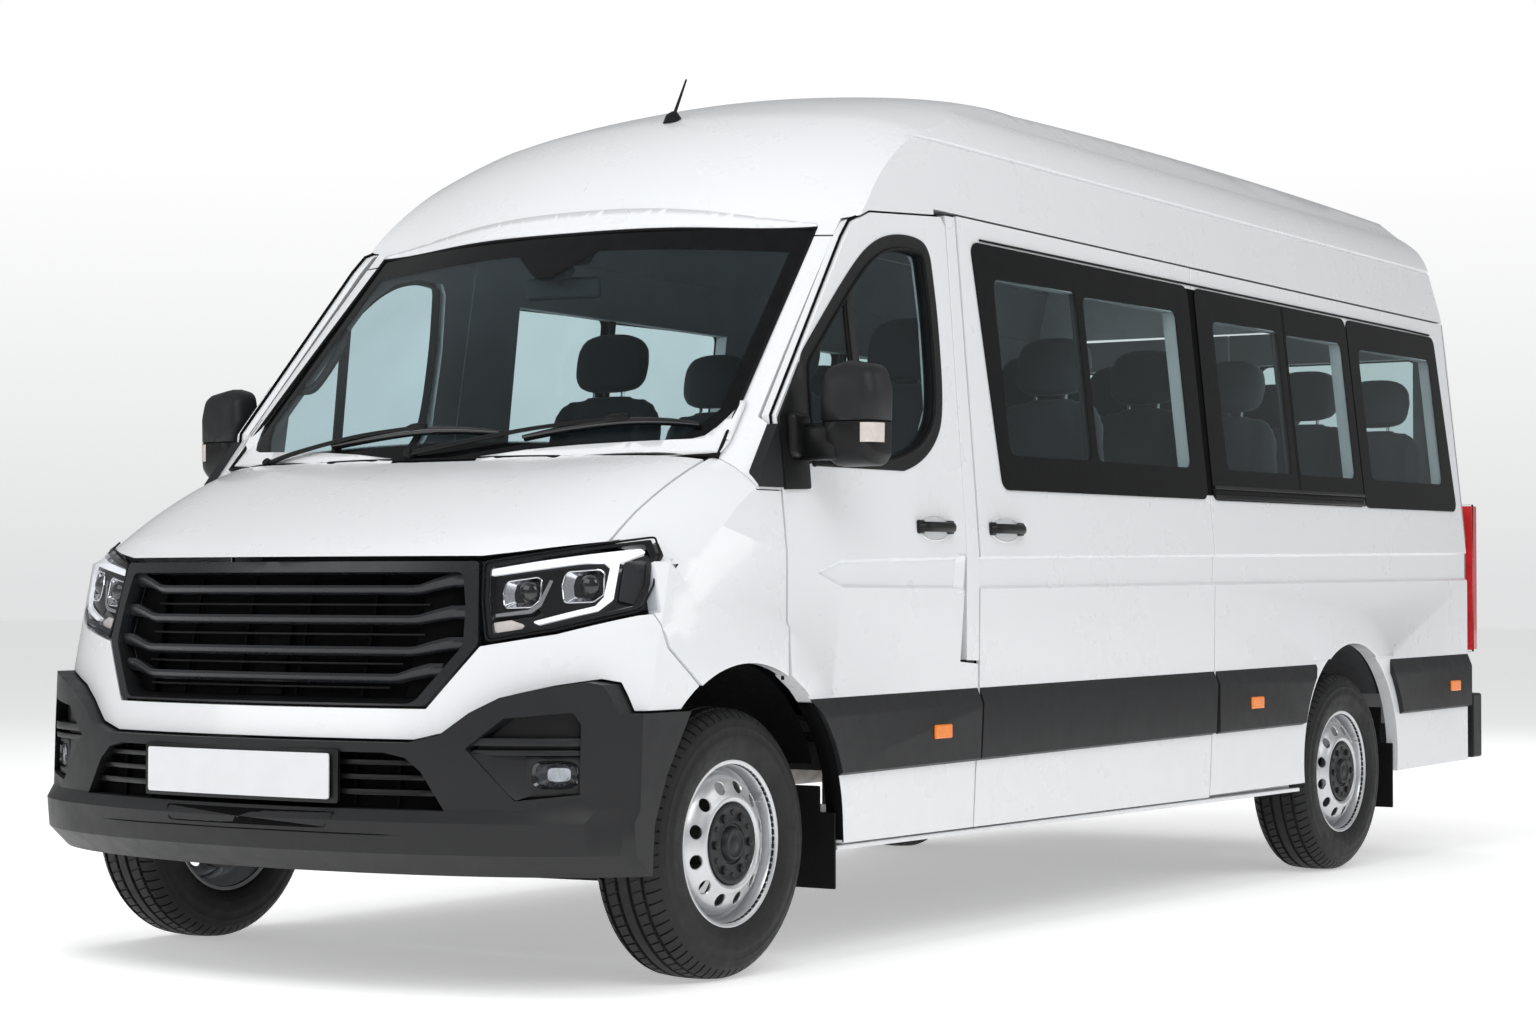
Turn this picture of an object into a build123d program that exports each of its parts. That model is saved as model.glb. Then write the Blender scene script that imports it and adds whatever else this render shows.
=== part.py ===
from build123d import *
import os

os.makedirs("parts", exist_ok=True)

# ---------------------------------------------------------------- driving sizes
# millimetres; X = vehicle left, Y = towards the rear, Z = up
WHEELBASE = 3775
FRONT_AXLE_Y = -2121
TYRE_R = 348
TYRE_W = 216
WHEEL_X = 876            # middle of a tyre
RIM_R = 197
KINGPIN_X = 745
WALL = 45                # side wall and door thickness
ROOF_T = 40
GAP = 6                  # panel gap
TOWING_EYE_R = 14        # hole of the rear towing eye
FLOOR_Z = 640            # top of the cabin floor


def fy(v):
    """distance behind the front axle -> Y"""
    return FRONT_AXLE_Y + v


# ---------------------------------------------------------------- body lines, height along the body
def rail_z(y):
    """seam between side wall and roof"""
    return 2083 - (y - 1222) * 0.0191


def glass_top_z(y):
    return 2010 - (y - 1362) * 0.0172


def band_low_z(y):
    return 499 + (y - 470) * 0.0098


def band_top_z(y):
    return 708 + (y - 470) * 0.0082


def crease_low_z(y):
    return 995 + (y - 1200) * 0.0078


def crease_top_z(y):
    return 1090 + (y - 1200) * 0.0116


# ---------------------------------------------------------------- body envelope
# stations across the width: x, nose set back, screen set back, roof drop, bonnet drop
STATIONS = [
    (-1030, 400, 165, 330, 140),
    (-930, 262, 122, 215, 40),
    (-760, 146, 100, 100, -10),
    (-400, 36, 28, 22, -6),
    (0, 0, 0, 0, 0),
    (400, 36, 28, 22, -6),
    (760, 146, 100, 100, -10),
    (930, 262, 122, 215, 40),
    (1030, 400, 165, 330, 140),
]
# half section of the body side: x, z
SIDE = [(1000, 200), (1000, 1090), (980, 1285), (890, 2085)]
# roof shoulder: behind front axle, drop of its lines
SHOULDER = [(-1200, 0), (1250, 0), (5200, 96)]


def side_x(z):
    for (x0, z0), (x1, z1) in zip(SIDE, SIDE[1:]):
        if z <= z1 or z1 == SIDE[-1][1]:
            return x0 + (x1 - x0) * (z - z0) / (z1 - z0)


def envelope(t):
    """closed body volume, its skin moved inwards by t"""
    with BuildPart() as env:
        for x, nose, screen, roof, bonnet in STATIONS:
            with BuildSketch(Plane.YZ.offset(x * (1000 - t) / 1000)):
                with BuildLine():
                    p0 = (fy(-760 + nose + t), 200)
                    p1 = (fy(-760 + nose + t), 620)
                    p2 = (fy(-655 + nose + t), 1066 - t * 0.5)
                    p3 = (fy(-585 + nose + t * 0.7), 1112 - bonnet - t)
                    pm = (fy(-300 + (nose + screen) / 2 + t * 0.3), 1252 - bonnet - t)
                    p4 = (fy(-30 + screen + t * 0.6), 1345 - bonnet - t * 0.8)
                    p5 = (fy(590 + screen + t * 0.6), 2045 - roof * 0.2 - t * 0.8)
                    pa = (fy(795 + screen * 0.85 + t * 0.5), 2237 - roof * 0.35 - t * 0.9)
                    pb = (fy(1080 + screen * 0.6 + t * 0.3), 2410 - roof * 0.66 - t)
                    pd = (fy(1500 + screen * 0.25), 2520 - roof * 0.93 - t)
                    p6 = (fy(2000), 2545 - roof - t)
                    pr = (fy(3400), 2530 - roof - t)
                    p7 = (fy(4800 - t), 2476 - roof - t)
                    p8 = (fy(4900 - t - nose * 0.1), 2370 - roof * 0.6 - t)
                    p9 = (fy(4930 - t - nose * 0.12), 1900)
                    p10 = (fy(4930 - t - nose * 0.12), 200)
                    Line(p0, p1)
                    Line(p1, p2)
                    Line(p2, p3)
                    ThreePointArc(p3, pm, p4)
                    Line(p4, p5)
                    ThreePointArc(p5, pa, pb)
                    ThreePointArc(pb, pd, p6)
                    ThreePointArc(p6, pr, p7)
                    Line(p7, p8)
                    Line(p8, p9)
                    Line(p9, p10)
                    Line(p10, p0)
                make_face()
        loft(ruled=False)
    # side walls, tumblehome and roof shoulder
    with BuildPart() as sides:
        for y, d in SHOULDER:
            with BuildSketch(Plane.XZ.offset(-fy(y))):
                with BuildLine():
                    low = [(x - t, z) for x, z in SIDE[:3]]
                    x_rail, z_rail = side_x(2085 - d * 0.75) - t, 2085 - d * 0.75
                    x_groove, z_groove = 838 + d * 0.1 - t, 2300 - d
                    Polyline([(-1, 200)] + low + [(x_rail, z_rail), (x_groove + 2, z_groove - 8),
                              (x_groove - 7, z_groove - 2), (x_groove, z_groove + 6)])
                    ThreePointArc((x_groove, z_groove + 6), (805 - t * 0.9, 2382 - d - t * 0.5),
                                  (742 - t * 0.7, 2434 - d - t * 0.8))
                    Line((742 - t * 0.7, 2434 - d - t * 0.8), (420, 2660))
                    Line((420, 2660), (-1, 2660))
                    Line((-1, 2660), (-1, 200))
                make_face()
                mirror(about=Plane.YZ)
        loft(ruled=True)
    return env.part & sides.part


# ---------------------------------------------------------------- helpers
def side_prism(pts, x0, x1, grow=0):
    """outline in the side view (behind front axle, z), from x0 to x1"""
    with BuildPart() as p:
        with BuildSketch(Plane.YZ.offset(x0)):
            with BuildLine():
                Polyline([(fy(y), z) for y, z in pts], close=True)
            make_face()
            if grow:
                offset(amount=grow, kind=Kind.INTERSECTION)
        extrude(amount=x1 - x0)
    return p.part


def rounded_prism(pts, x0, x1, r):
    """side view outline with round corners, from x0 to x1"""
    with BuildPart() as p:
        with BuildSketch(Plane.YZ.offset(x0)) as outline:
            with BuildLine():
                Polyline([(fy(y), z) for y, z in pts], close=True)
            make_face()
            fillet(outline.vertices(), r)
        extrude(amount=x1 - x0)
    return p.part


def front_prism(pts, y0, y1):
    """outline in the front view (x, z), from y0 to y1 behind the front axle"""
    with BuildPart() as p:
        with BuildSketch(Plane.XZ.offset(-fy(y0))):
            with BuildLine():
                Polyline(pts, close=True)
            make_face()
        extrude(amount=-(y1 - y0))
    return p.part


def both(pts):
    """closed outline from its left half, given from the middle outwards and back"""
    return pts + [(-x, z) for x, z in pts[::-1] if x]


def plan_prism(pts, z0, z1):
    """outline in the plan view (x, behind front axle), from z0 to z1"""
    with BuildPart() as p:
        with BuildSketch(Plane.XY.offset(z0)):
            with BuildLine():
                Polyline([(x, fy(y)) for x, y in pts], close=True)
            make_face()
        extrude(amount=z1 - z0)
    return p.part


def block(x0, x1, y0, y1, z0, z1):
    x0, x1 = min(x0, x1), max(x0, x1)
    with BuildPart() as p:
        with Locations(((x0 + x1) / 2, fy((y0 + y1) / 2), (z0 + z1) / 2)):
            Box(x1 - x0, y1 - y0, z1 - z0)
    return p.part


def drum(x0, x1, y, z, r):
    """cylinder across the vehicle"""
    x0, x1 = min(x0, x1), max(x0, x1)
    with BuildPart() as p:
        with BuildSketch(Plane.YZ.offset(x0)):
            with Locations((fy(y), z)):
                Circle(r)
        extrude(amount=x1 - x0)
    return p.part


def post(x, y, z0, z1, r):
    """upright cylinder"""
    with BuildPart() as p:
        with BuildSketch(Plane.XY.offset(z0)):
            with Locations((x, fy(y))):
                Circle(r)
        extrude(amount=z1 - z0)
    return p.part


def wall_slab(side, thick, out=0, y0=0, y1=4885):
    """slab that follows the body side; side +1 left, -1 right"""
    with BuildPart() as p:
        with BuildSketch(Plane.XZ.offset(-fy(y1))):
            with BuildLine():
                o = [(side * (x + out), z) for x, z in SIDE]
                i = [(side * (x + out - thick), z) for x, z in SIDE]
                Polyline(o + i[::-1], close=True)
            make_face()
        extrude(amount=y1 - y0)
    return p.part


def side_recess(side, outline, depth, slope):
    """shallow pressed recess in the body side with sloping flanks"""
    with BuildPart() as p:
        with BuildSketch(Plane.YZ.offset(side * (1000 - depth))):
            with BuildLine():
                Polyline([(fy(y), z) for y, z in outline], close=True)
            make_face()
            offset(amount=-slope, kind=Kind.INTERSECTION)
        with BuildSketch(Plane.YZ.offset(side * 1001)):
            with BuildLine():
                Polyline([(fy(y), z) for y, z in outline], close=True)
            make_face()
        loft(ruled=True)
    return p.part


def flare(side, y, z, r_arch, r_out, height):
    """raised ring round a wheel arch with a sloping outer flank"""
    with BuildPart() as p:
        with BuildSketch(Plane.YZ.offset(side * 996)):
            with Locations((fy(y), z)):
                Circle(r_out)
        with BuildSketch(Plane.YZ.offset(side * (1000 + height))):
            with Locations((fy(y), z)):
                Circle(r_out - 22)
        loft(ruled=True)
    return p.part


def save(piece, name):
    piece.part.label = name
    export_step(piece.part, "parts/" + name + ".step")


names = {1: "left", -1: "right"}

# ---------------------------------------------------------------- outlines (behind front axle, z)
CAB_DOOR = [(474, 318), (476, 366), (460, 482), (416, 590), (345, 683), (285, 734), (222, 771), (215, 860), (215, 1452),
            (640, 1960), (690, 2010), (780, 2044), (1165, 2068), (1185, 2040),
            (1128, 1080), (1092, 790), (1190, 782), (1190, 700), (1160, 318)]
CAB_GLASS = [(345, 1300), (362, 1610), (676, 1886), (800, 1960), (920, 1986), (1040, 1980), (1070, 1930),
             (1078, 1750), (1060, 1500), (1000, 1410), (880, 1345), (700, 1315)]
SAIL = [(221, 1262), (221, 1447), (352, 1606), (336, 1292), (336, 1262)]
# fixed corner trim in front of the door
CORNER_TRIM = [(104, 1262), (102, 1302), (207, 1430), (207, 1262)]
SLIDE_DOOR = [(1166, 318), (1200, 705), (1208, 1080), (1256, rail_z(1256) - 3), (2748, rail_z(2748) - 3),
              (2740, 2000), (2716, 1090), (2706, 730), (2668, 318)]
# side windows: glass front edge top and bottom, glass rear edge top and bottom, opening front and rear
SIDE_WINDOWS = [
    (1316, 1368, 2704, 2700, 1425, 2605),
    (2752, 2742, 3955, 3960, 2860, 3905),
    (3965, 3970, 4775, 4822, 4045, 4720),
]
GLASS_LOW = 1284
OPEN_LOW = 1385
# wheel arches: middle behind front axle, z, radius, flare middle, flare z, flare radius
ARCHES = [(28, 366, 442, -50, 380, 598), (3805, 395, 405, 3825, 470, 458)]

outer = envelope(0)
shell = outer - envelope(WALL)
front_half = block(-1100, 1100, -1000, 1350, 150, 2700)
rear_half = block(-1100, 1100, 4700, 5100, 150, 2700)
front_outer = outer & front_half
front_shell = shell & front_half
skin = front_outer - envelope(22)
roof_shell = outer - envelope(ROOF_T)
glass_shell = (envelope(2) - envelope(8)) & front_half

# ---------------------------------------------------------------- windscreen opening: across the screen plane
screen_plane = Plane(origin=(0, fy(-30), 1345), x_dir=(1, 0, 0), z_dir=(0, -0.7486, 0.6630))


def screen_prism(grow):
    with BuildPart() as p:
        with BuildSketch(screen_plane):
            with BuildLine():
                a = (-868 - grow, 72 - grow)
                b = (-790 - grow, 960 + grow)
                c = (790 + grow, 960 + grow)
                d = (868 + grow, 72 - grow)
                Line(a, b)
                ThreePointArc(b, (0, 985 + grow), c)
                Line(c, d)
                ThreePointArc(d, (0, 5 - grow), a)
            make_face()
        extrude(amount=400, both=True)
    return p.part


screen_cut = screen_prism(0)
screen_glass_cut = screen_prism(-5)
left_slab = wall_slab(1, WALL)
right_slab = wall_slab(-1, WALL)
cab_door_room = {s: wall_slab(s, WALL + 20, 12) & side_prism(CAB_DOOR, -1100, 1100, GAP) for s in (1, -1)}

# ---------------------------------------------------------------- roof and windscreen frame
roof_zone = side_prism([(330, 2088), (560, 2300), (1200, 2800), (5100, 2800), (5100, rail_z(5100) + 3),
                        (1130, rail_z(1130) + 3), (1126, 2050), (790, 2020), (715, 1985), (703, 1966), (610, 1985)], -1100, 1100)
with BuildPart() as roof:
    add(roof_shell)
    add(roof_zone, mode=Mode.INTERSECT)
    add(screen_cut, mode=Mode.SUBTRACT)
    for room in cab_door_room.values():
        add(room, mode=Mode.SUBTRACT)
save(roof, "roof")

PILLAR = [(40, 1440), (90, 1335), (96, 1256), (209, 1256), (209, 1330), (700, 1962), (602, 1980), (320, 2080)]
pillar_zone = side_prism(PILLAR, -1100, 1100)
with BuildPart() as windscreen_frame:
    add(front_shell)
    add(pillar_zone, mode=Mode.INTERSECT)
    add(screen_cut, mode=Mode.SUBTRACT)
    for room in cab_door_room.values():
        add(room, mode=Mode.SUBTRACT)
    with BuildSketch(Plane.XY.offset(1100)):
        with Locations((0, fy(-140))):
            Rectangle(1740, 460)
    extrude(amount=700, mode=Mode.SUBTRACT)
save(windscreen_frame, "windscreen_frame")

with BuildPart() as windscreen:
    add(glass_shell)
    add(screen_glass_cut, mode=Mode.INTERSECT)
    add(block(-1100, 1100, -300, 1100, 1300, 2200), mode=Mode.INTERSECT)
save(windscreen, "windscreen")

# ---------------------------------------------------------------- bonnet, wings, nose
bonnet_plan = plan_prism([(-610, -900), (610, -900), (856, -700), (856, -424), (846, -250), (838, 66), (-838, 66),
                          (-846, -250), (-856, -424), (-856, -700)], 1060, 1420)
bonnet_cut = front_prism(both([(1100, 1500), (1100, 1140), (856, 1116), (700, 1092), (604, 1080)]), -1200, 300)
with BuildPart() as bonnet:
    add(skin)
    add(bonnet_plan, mode=Mode.INTERSECT)
    add(bonnet_cut, mode=Mode.INTERSECT)
    add(screen_prism(14), mode=Mode.SUBTRACT)
save(bonnet, "bonnet")

# seam between nose panel and wing, side view
NOSE_SEAM = [(-362, 1200), (-366, 950), (-318, 853), (-221, 784), (-150, 730), (-150, 560), (-1000, 560),
             (-1000, 1200)]
HEADLIGHT = [(614, 1066), (628, 970), (650, 868), (812, 897), (963, 942), (1100, 960), (1100, 1138), (935, 1128),
             (836, 1108)]
BUMPER_TOP = [(0, 622), (510, 622), (594, 642), (667, 697), (737, 734), (825, 756), (914, 772), (944, 765),
              (960, 730), (974, 694), (1100, 694)]
GRILLE = [(0, 1072), (608, 1072), (622, 965), (636, 862), (524, 709), (0, 709)]
headlight_room = [front_prism([(s * x, z) for x, z in HEADLIGHT], -900, -348) for s in (1, -1)]
headlight_gap = [front_prism([(s * x, z) for x, z in [(608, 1076), (622, 970), (644, 860), (812, 890), (966, 936),
                 (1100, 953), (1100, 1146), (935, 1134), (836, 1114)]], -900, -342) for s in (1, -1)]

with BuildPart() as front_wings:
    add(skin)
    add(block(-1100, 1100, -480, 206, 560, 1420), mode=Mode.INTERSECT)
    add(plan_prism([(-862, -900), (862, -900), (862, -424), (852, -250), (844, 300), (-844, 300), (-852, -250),
                    (-862, -424)], 500, 1500), mode=Mode.SUBTRACT)
    add(side_prism(PILLAR, -1100, 1100, 3), mode=Mode.SUBTRACT)
    add(flare(1, *ARCHES[0][3:5], 0, ARCHES[0][5], 8) & block(900, 1100, -360, 206, 560, 1100))
    add(flare(-1, *ARCHES[0][3:5], 0, ARCHES[0][5], 8) & block(-1100, -900, -360, 206, 560, 1100))
    add(block(-978, 978, -900, 500, 200, 1060) & block(-978, 978, -330, 500, 200, 1060), mode=Mode.SUBTRACT)
    add(drum(-1100, 1100, *ARCHES[0][:3]), mode=Mode.SUBTRACT)
    for room in headlight_gap:
        add(room, mode=Mode.SUBTRACT)
    add(side_prism(NOSE_SEAM, -1100, 1100, 3) & block(-1100, 1100, -1000, 0, 300, 1000), mode=Mode.SUBTRACT)
    for room in cab_door_room.values():
        add(room, mode=Mode.SUBTRACT)
save(front_wings, "front_wings")

nose_zone = front_prism(both([(0, 703), (526, 703), (640, 857), (812, 887), (963, 933), (1100, 950), (1100, 700),
                              (978, 700), (965, 736), (950, 770), (914, 778), (825, 762), (737, 740), (667, 703),
                              (590, 648), (508, 628), (0, 628)]), -1000, 0)
with BuildPart() as nose_panel:
    add(skin)
    add(nose_zone, mode=Mode.INTERSECT)
    add(side_prism(NOSE_SEAM, -1100, 1100), mode=Mode.INTERSECT)
    add(drum(-1100, 1100, *ARCHES[0][:3]), mode=Mode.SUBTRACT)
save(nose_panel, "nose_panel")

# grille: frame, back mesh and bars
with BuildPart() as grille:
    add(front_outer)
    add(front_prism(both(GRILLE), -900, -380), mode=Mode.INTERSECT)
    add(envelope(70), mode=Mode.SUBTRACT)
    add(front_prism(both([(0, 1030), (556, 1030), (578, 862), (478, 730), (0, 730)]), -900, -380), mode=Mode.SUBTRACT)
    # dark screen behind the bars
    add((envelope(58) - envelope(64)) & front_prism(both([(0, 1040), (570, 1040), (590, 862), (488, 722),
                                                          (0, 722)]), -900, -380))
    # bars: low edge z, high edge z, half width
    for z0, z1, hw in [(766, 792, 560), (838, 866, 600), (912, 940, 600), (990, 1014, 600)]:
        add((front_outer - envelope(46)) & block(-hw, hw, -900, -380, z0, z1))
save(grille, "grille")

with BuildPart() as headlights:
    add(front_outer)
    add(envelope(80), mode=Mode.SUBTRACT)
    add(headlight_room[0], mode=Mode.INTERSECT)
    mirror(about=Plane.YZ)
save(headlights, "headlights")


# ---------------------------------------------------------------- front bumper
def nose_block(profile, width, back):
    """solid behind a nose profile: (behind front axle, z), scaled in width, moved back"""
    with BuildPart() as band:
        for x, nose, screen, roof_drop, bonnet_drop in STATIONS:
            with BuildSketch(Plane.YZ.offset(x * width)):
                with BuildLine():
                    Polyline([(fy(y + nose + back), z) for y, z in profile] +
                             [(fy(0), profile[-1][1]), (fy(0), profile[0][1])], close=True)
                make_face()
        loft(ruled=False)
    return band.part


BUMPER = [(-745, 296), (-812, 352), (-820, 430), (-796, 462), (-792, 620), (-784, 800)]
bumper_zone = front_prism(both([(0, 290), (1006, 290), (1008, 694), (974, 694), (960, 730), (944, 765), (914, 772),
                                (825, 756), (737, 734), (667, 697), (594, 642), (510, 622), (0, 622)]), -1000, 0)
with BuildPart() as front_bumper:
    add(nose_block(BUMPER, 1.0, 0))
    add(bumper_zone, mode=Mode.INTERSECT)
    add(side_prism([(-1000, 250), (-392, 250), (-380, 420), (-330, 540), (-224, 700), (-224, 900), (-1000, 900)],
                   -1100, 1100), mode=Mode.INTERSECT)
    add(nose_block([(y, z) for y, z in [(-745, 200), (-745, 900)]], 0.955, 50), mode=Mode.SUBTRACT)
    # lower air intake
    add(front_prism(both([(0, 597), (450, 597), (508, 585), (550, 552), (612, 458), (0, 458)]), -900, -400),
        mode=Mode.SUBTRACT)
    # fog lamp recesses
    for s in (1, -1):
        add(front_prism([(s * x, z) for x, z in [(660, 610), (748, 684), (892, 698), (908, 670), (908, 500),
                         (776, 484)]], -900, -300), mode=Mode.SUBTRACT)
        # room for the wheel arch liner
        add(drum(s * 500, s * 934, 4, 362, 464), mode=Mode.SUBTRACT)
save(front_bumper, "front_bumper")

# dark inserts that close the openings of the bumper, with bars and fog lamp panels
intake = front_prism(both([(0, 596), (449, 596), (507, 584), (548, 551), (610, 459), (0, 459)]), -900, -300)
fog_recess = front_prism([(661.5, 610), (748.5, 682.5), (891, 696.5), (906.5, 669.5), (906.5, 501),
                          (776.5, 485.5)], -900, -300)
insert_zone = intake + fog_recess + fog_recess.mirror(Plane.YZ)
with BuildPart() as bumper_inserts:
    add(nose_block([(-752, 440), (-752, 720)], 0.98, 0) - nose_block([(-732, 400), (-732, 800)], 0.97, 8))
    for z0, z1 in ((500, 512), (548, 560), (592, 622)):
        add(nose_block([(-788, z0), (-788, z1)], 1.0, 4) - nose_block([(-745, z0 - 5), (-745, z1 + 5)], 1.0, 4))
    add(insert_zone, mode=Mode.INTERSECT)
save(bumper_inserts, "bumper_inserts")
print("front", len(roof.solids()), len(windscreen_frame.solids()), len(windscreen.solids()), len(bonnet.solids()),
      len(front_wings.solids()), len(nose_panel.solids()), len(grille.solids()), len(headlights.solids()),
      len(front_bumper.solids()), len(bumper_inserts.solids()))

# ---------------------------------------------------------------- body sides
window_cuts = [side_prism([(o0, OPEN_LOW), (o0, glass_top_z(o0) - 96), (o1, glass_top_z(o1) - 96), (o1, OPEN_LOW)],
                          -1200, 1200) for gft, gfb, grt, grb, o0, o1 in SIDE_WINDOWS]
rear_arch = drum(-1100, 1100, *ARCHES[1][:3])
slide_room = side_prism(SLIDE_DOOR, 0, 1100, GAP)
side_zone = side_prism([(1130, 318), (1130, rail_z(1130) - 3), (4884, rail_z(4884) - 3), (4884, 340),
                        (4200, 330)], -1100, 1100)
# pressed channel between the two creases
CREASE = [(1200, crease_low_z(1200)), (4930, crease_low_z(4930)), (4930, crease_top_z(4930)),
          (1200, crease_top_z(1200))]
CREASE_FRONT = [(350, 1040), (480, 1000), (1230, crease_low_z(1230)), (1230, crease_top_z(1230)), (480, 1076)]
creases = {s: [side_recess(s, CREASE, 11, 9), side_recess(s, CREASE_FRONT, 11, 9)] for s in (1, -1)}


def with_creases(piece, side):
    for c in creases[side]:
        piece = piece - c
    return piece


rear_flare = {s: flare(s, *ARCHES[1][3:5], 0, ARCHES[1][5], 8) - rear_arch for s in (1, -1)}
flare_room = {s: block(s * 985, s * 1100, 2755, 4884, 748, 985) for s in (1, -1)}

with BuildPart() as left_side_panel:
    add(with_creases(left_slab & side_zone, 1))
    add(rear_flare[1] & flare_room[1])
    add(block(-1100, 1100, 2500, 5100, 300, 2300), mode=Mode.INTERSECT)
    add(slide_room, mode=Mode.SUBTRACT)
    add(rear_arch, mode=Mode.SUBTRACT)
    for cut in window_cuts[1:]:
        add(cut, mode=Mode.SUBTRACT)
    # pillar between the cab door and the sliding door
    add(left_slab & side_prism([(1130, 794), (1196, 791), (1199, 1080), (1246, 2075), (1192, 2075), (1192, 2040),
                                (1131, 1080)], 0, 1100))
save(left_side_panel, "left_side_panel")

with BuildPart() as right_side_panel:
    add(with_creases(right_slab & side_zone, -1))
    add(rear_flare[-1] & flare_room[-1])
    add(cab_door_room[-1], mode=Mode.SUBTRACT)
    add(rear_arch, mode=Mode.SUBTRACT)
    for cut in window_cuts:
        add(cut, mode=Mode.SUBTRACT)
save(right_side_panel, "right_side_panel")

with BuildPart() as sliding_door:
    add(with_creases(left_slab & side_prism(SLIDE_DOOR, 0, 1100), 1))
    add(window_cuts[0], mode=Mode.SUBTRACT)
save(sliding_door, "sliding_door")

# bonded side glass, 5 mm thick, just outside the wall
with BuildPart() as side_windows:
    for side in (1, -1):
        for gft, gfb, grt, grb, o0, o1 in SIDE_WINDOWS:
            pane = rounded_prism([(gft, glass_top_z(gft)), (gfb, GLASS_LOW), (grb, GLASS_LOW + 2),
                                  (grt, glass_top_z(grt))], -1100, 1100, 36)
            add(wall_slab(side, 5, 5.3) & pane)
save(side_windows, "side_windows")

# plastic band along the body sides, below the doors' lower edges it stands 8 mm proud
def side_band(side, y0, y1):
    """raised band with sloping edges between two places behind the front axle"""
    pts = [(y0, band_low_z(y0)), (y1, band_low_z(y1)), (y1, band_top_z(y1)), (y0, band_top_z(y0))]
    with BuildPart() as p:
        with BuildSketch(Plane.YZ.offset(side * 1000.4)):
            with BuildLine():
                Polyline([(fy(y), z) for y, z in pts], close=True)
            make_face()
        with BuildSketch(Plane.YZ.offset(side * 1018)):
            with BuildLine():
                Polyline([(fy(y), z - 44 if z > 600 else z + 8) for y, z in pts], close=True)
            make_face()
        loft(ruled=True)
    return p.part


with BuildPart() as side_cladding:
    for side in (1, -1):
        for y0, y1 in ((2716, 3500), (4140, 4884)) if side > 0 else ((1196, 3500), (4140, 4884)):
            add(side_band(side, y0, y1))
    for side in (1, -1):
        add(drum(side * 990, side * 1030, *ARCHES[1][:2], ARCHES[1][2] + 40), mode=Mode.SUBTRACT)
    add(side_band(1, 1172, 2704) & side_prism(SLIDE_DOOR, 0, 1100))
    for side in (1, -1):
        add((wall_slab(side, 34, 9.6) & side_prism(CORNER_TRIM, -1100, 1100)) - outer)
save(side_cladding, "side_cladding")

# sills under the doors
with BuildPart() as sills:
    for side in (1, -1):
        add(block(side * 925, side * 985, 476, 3395, 298, 311))
        add(block(side * 925, side * 945, 476, 3395, 298, 420))
save(sills, "sills")

# ---------------------------------------------------------------- cab doors
for side in (1, -1):
    word = names[side]
    slab = left_slab if side > 0 else right_slab
    with BuildPart() as door:
        add(with_creases(slab & side_prism(CAB_DOOR, -1100, 1100), side))
        add(flare(side, *ARCHES[0][3:5], 0, ARCHES[0][5], 8) & block(side * 990, side * 1100, 206, 1000, 716, 985)
            & side_prism(CAB_DOOR, -1100, 1100))
        add(drum(-1100, 1100, *ARCHES[0][:3]), mode=Mode.SUBTRACT)
        add(side_prism(CAB_GLASS, -1100, 1100, -22), mode=Mode.SUBTRACT)
    save(door, word + "_cab_door")
    with BuildPart() as cladding:
        add(side_band(side, 300, 1186))
        add(side_prism(CAB_DOOR, -1100, 1100), mode=Mode.INTERSECT)
        add(drum(side * 990, side * 1100, *ARCHES[0][:2], ARCHES[0][2] + 4), mode=Mode.SUBTRACT)
    save(cladding, word + "_door_cladding")
    with BuildPart() as glass:
        add(wall_slab(side, 5, -12))
        add(side_prism(CAB_GLASS, -1100, 1100, -22.3), mode=Mode.INTERSECT)
    save(glass, word + "_cab_door_glass")
    # door mirror: housing, arm and the sail that holds it on the door
    with BuildPart() as mirror_piece:
        with BuildSketch(Plane.XZ.offset(-fy(372))):
            with BuildLine():
                Polyline([(side * x, z) for x, z in [(1075, 1345), (1105, 1322), (1185, 1330), (1212, 1360),
                          (1216, 1530), (1200, 1578), (1120, 1590), (1082, 1572), (1070, 1530)]], close=True)
            make_face()
        with BuildSketch(Plane.XZ.offset(-fy(300))):
            with BuildLine():
                Polyline([(side * x, z) for x, z in [(1098, 1375), (1120, 1352), (1175, 1358), (1194, 1380),
                          (1196, 1508), (1184, 1546), (1130, 1556), (1104, 1542), (1096, 1508)]], close=True)
            make_face()
        loft(ruled=True)
        add(block(side * 1076, side * 1208, 371, 385, 1334, 1574))
        add(block(side * 975, side * 1100, 302, 366, 1362, 1412))
        add(block(side * 977, side * 985, 240, 340, 1330, 1440))
        add(wall_slab(side, 9, 9.6) & side_prism(SAIL, -1100, 1100))
    save(mirror_piece, word + "_mirror")

# ---------------------------------------------------------------- rear doors
for side in (1, -1):
    word = names[side]
    with BuildPart() as door:
        add(shell)
        add(front_prism([(side * 3, 612), (side * 890, 612), (side * 890, 1300), (side * 826, 2002), (side * 3, 2006)],
                        4800, 5000), mode=Mode.INTERSECT)
        add(block(side * 113, side * 790, 4800, 5000, 1335, 1880), mode=Mode.SUBTRACT)
    save(door, word + "_rear_door")
    with BuildPart() as glass:
        add(envelope(-5.3) - envelope(-0.3))
        with BuildSketch(Plane.XZ.offset(-fy(4850))) as outline:
            with BuildLine():
                Polyline([(side * 56, 1290), (side * 848, 1290), (side * 800, 1930), (side * 56, 1950)], close=True)
            make_face()
            fillet(outline.vertices(), 40)
        extrude(amount=-200, mode=Mode.INTERSECT)
    save(glass, word + "_rear_door_glass")

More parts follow.
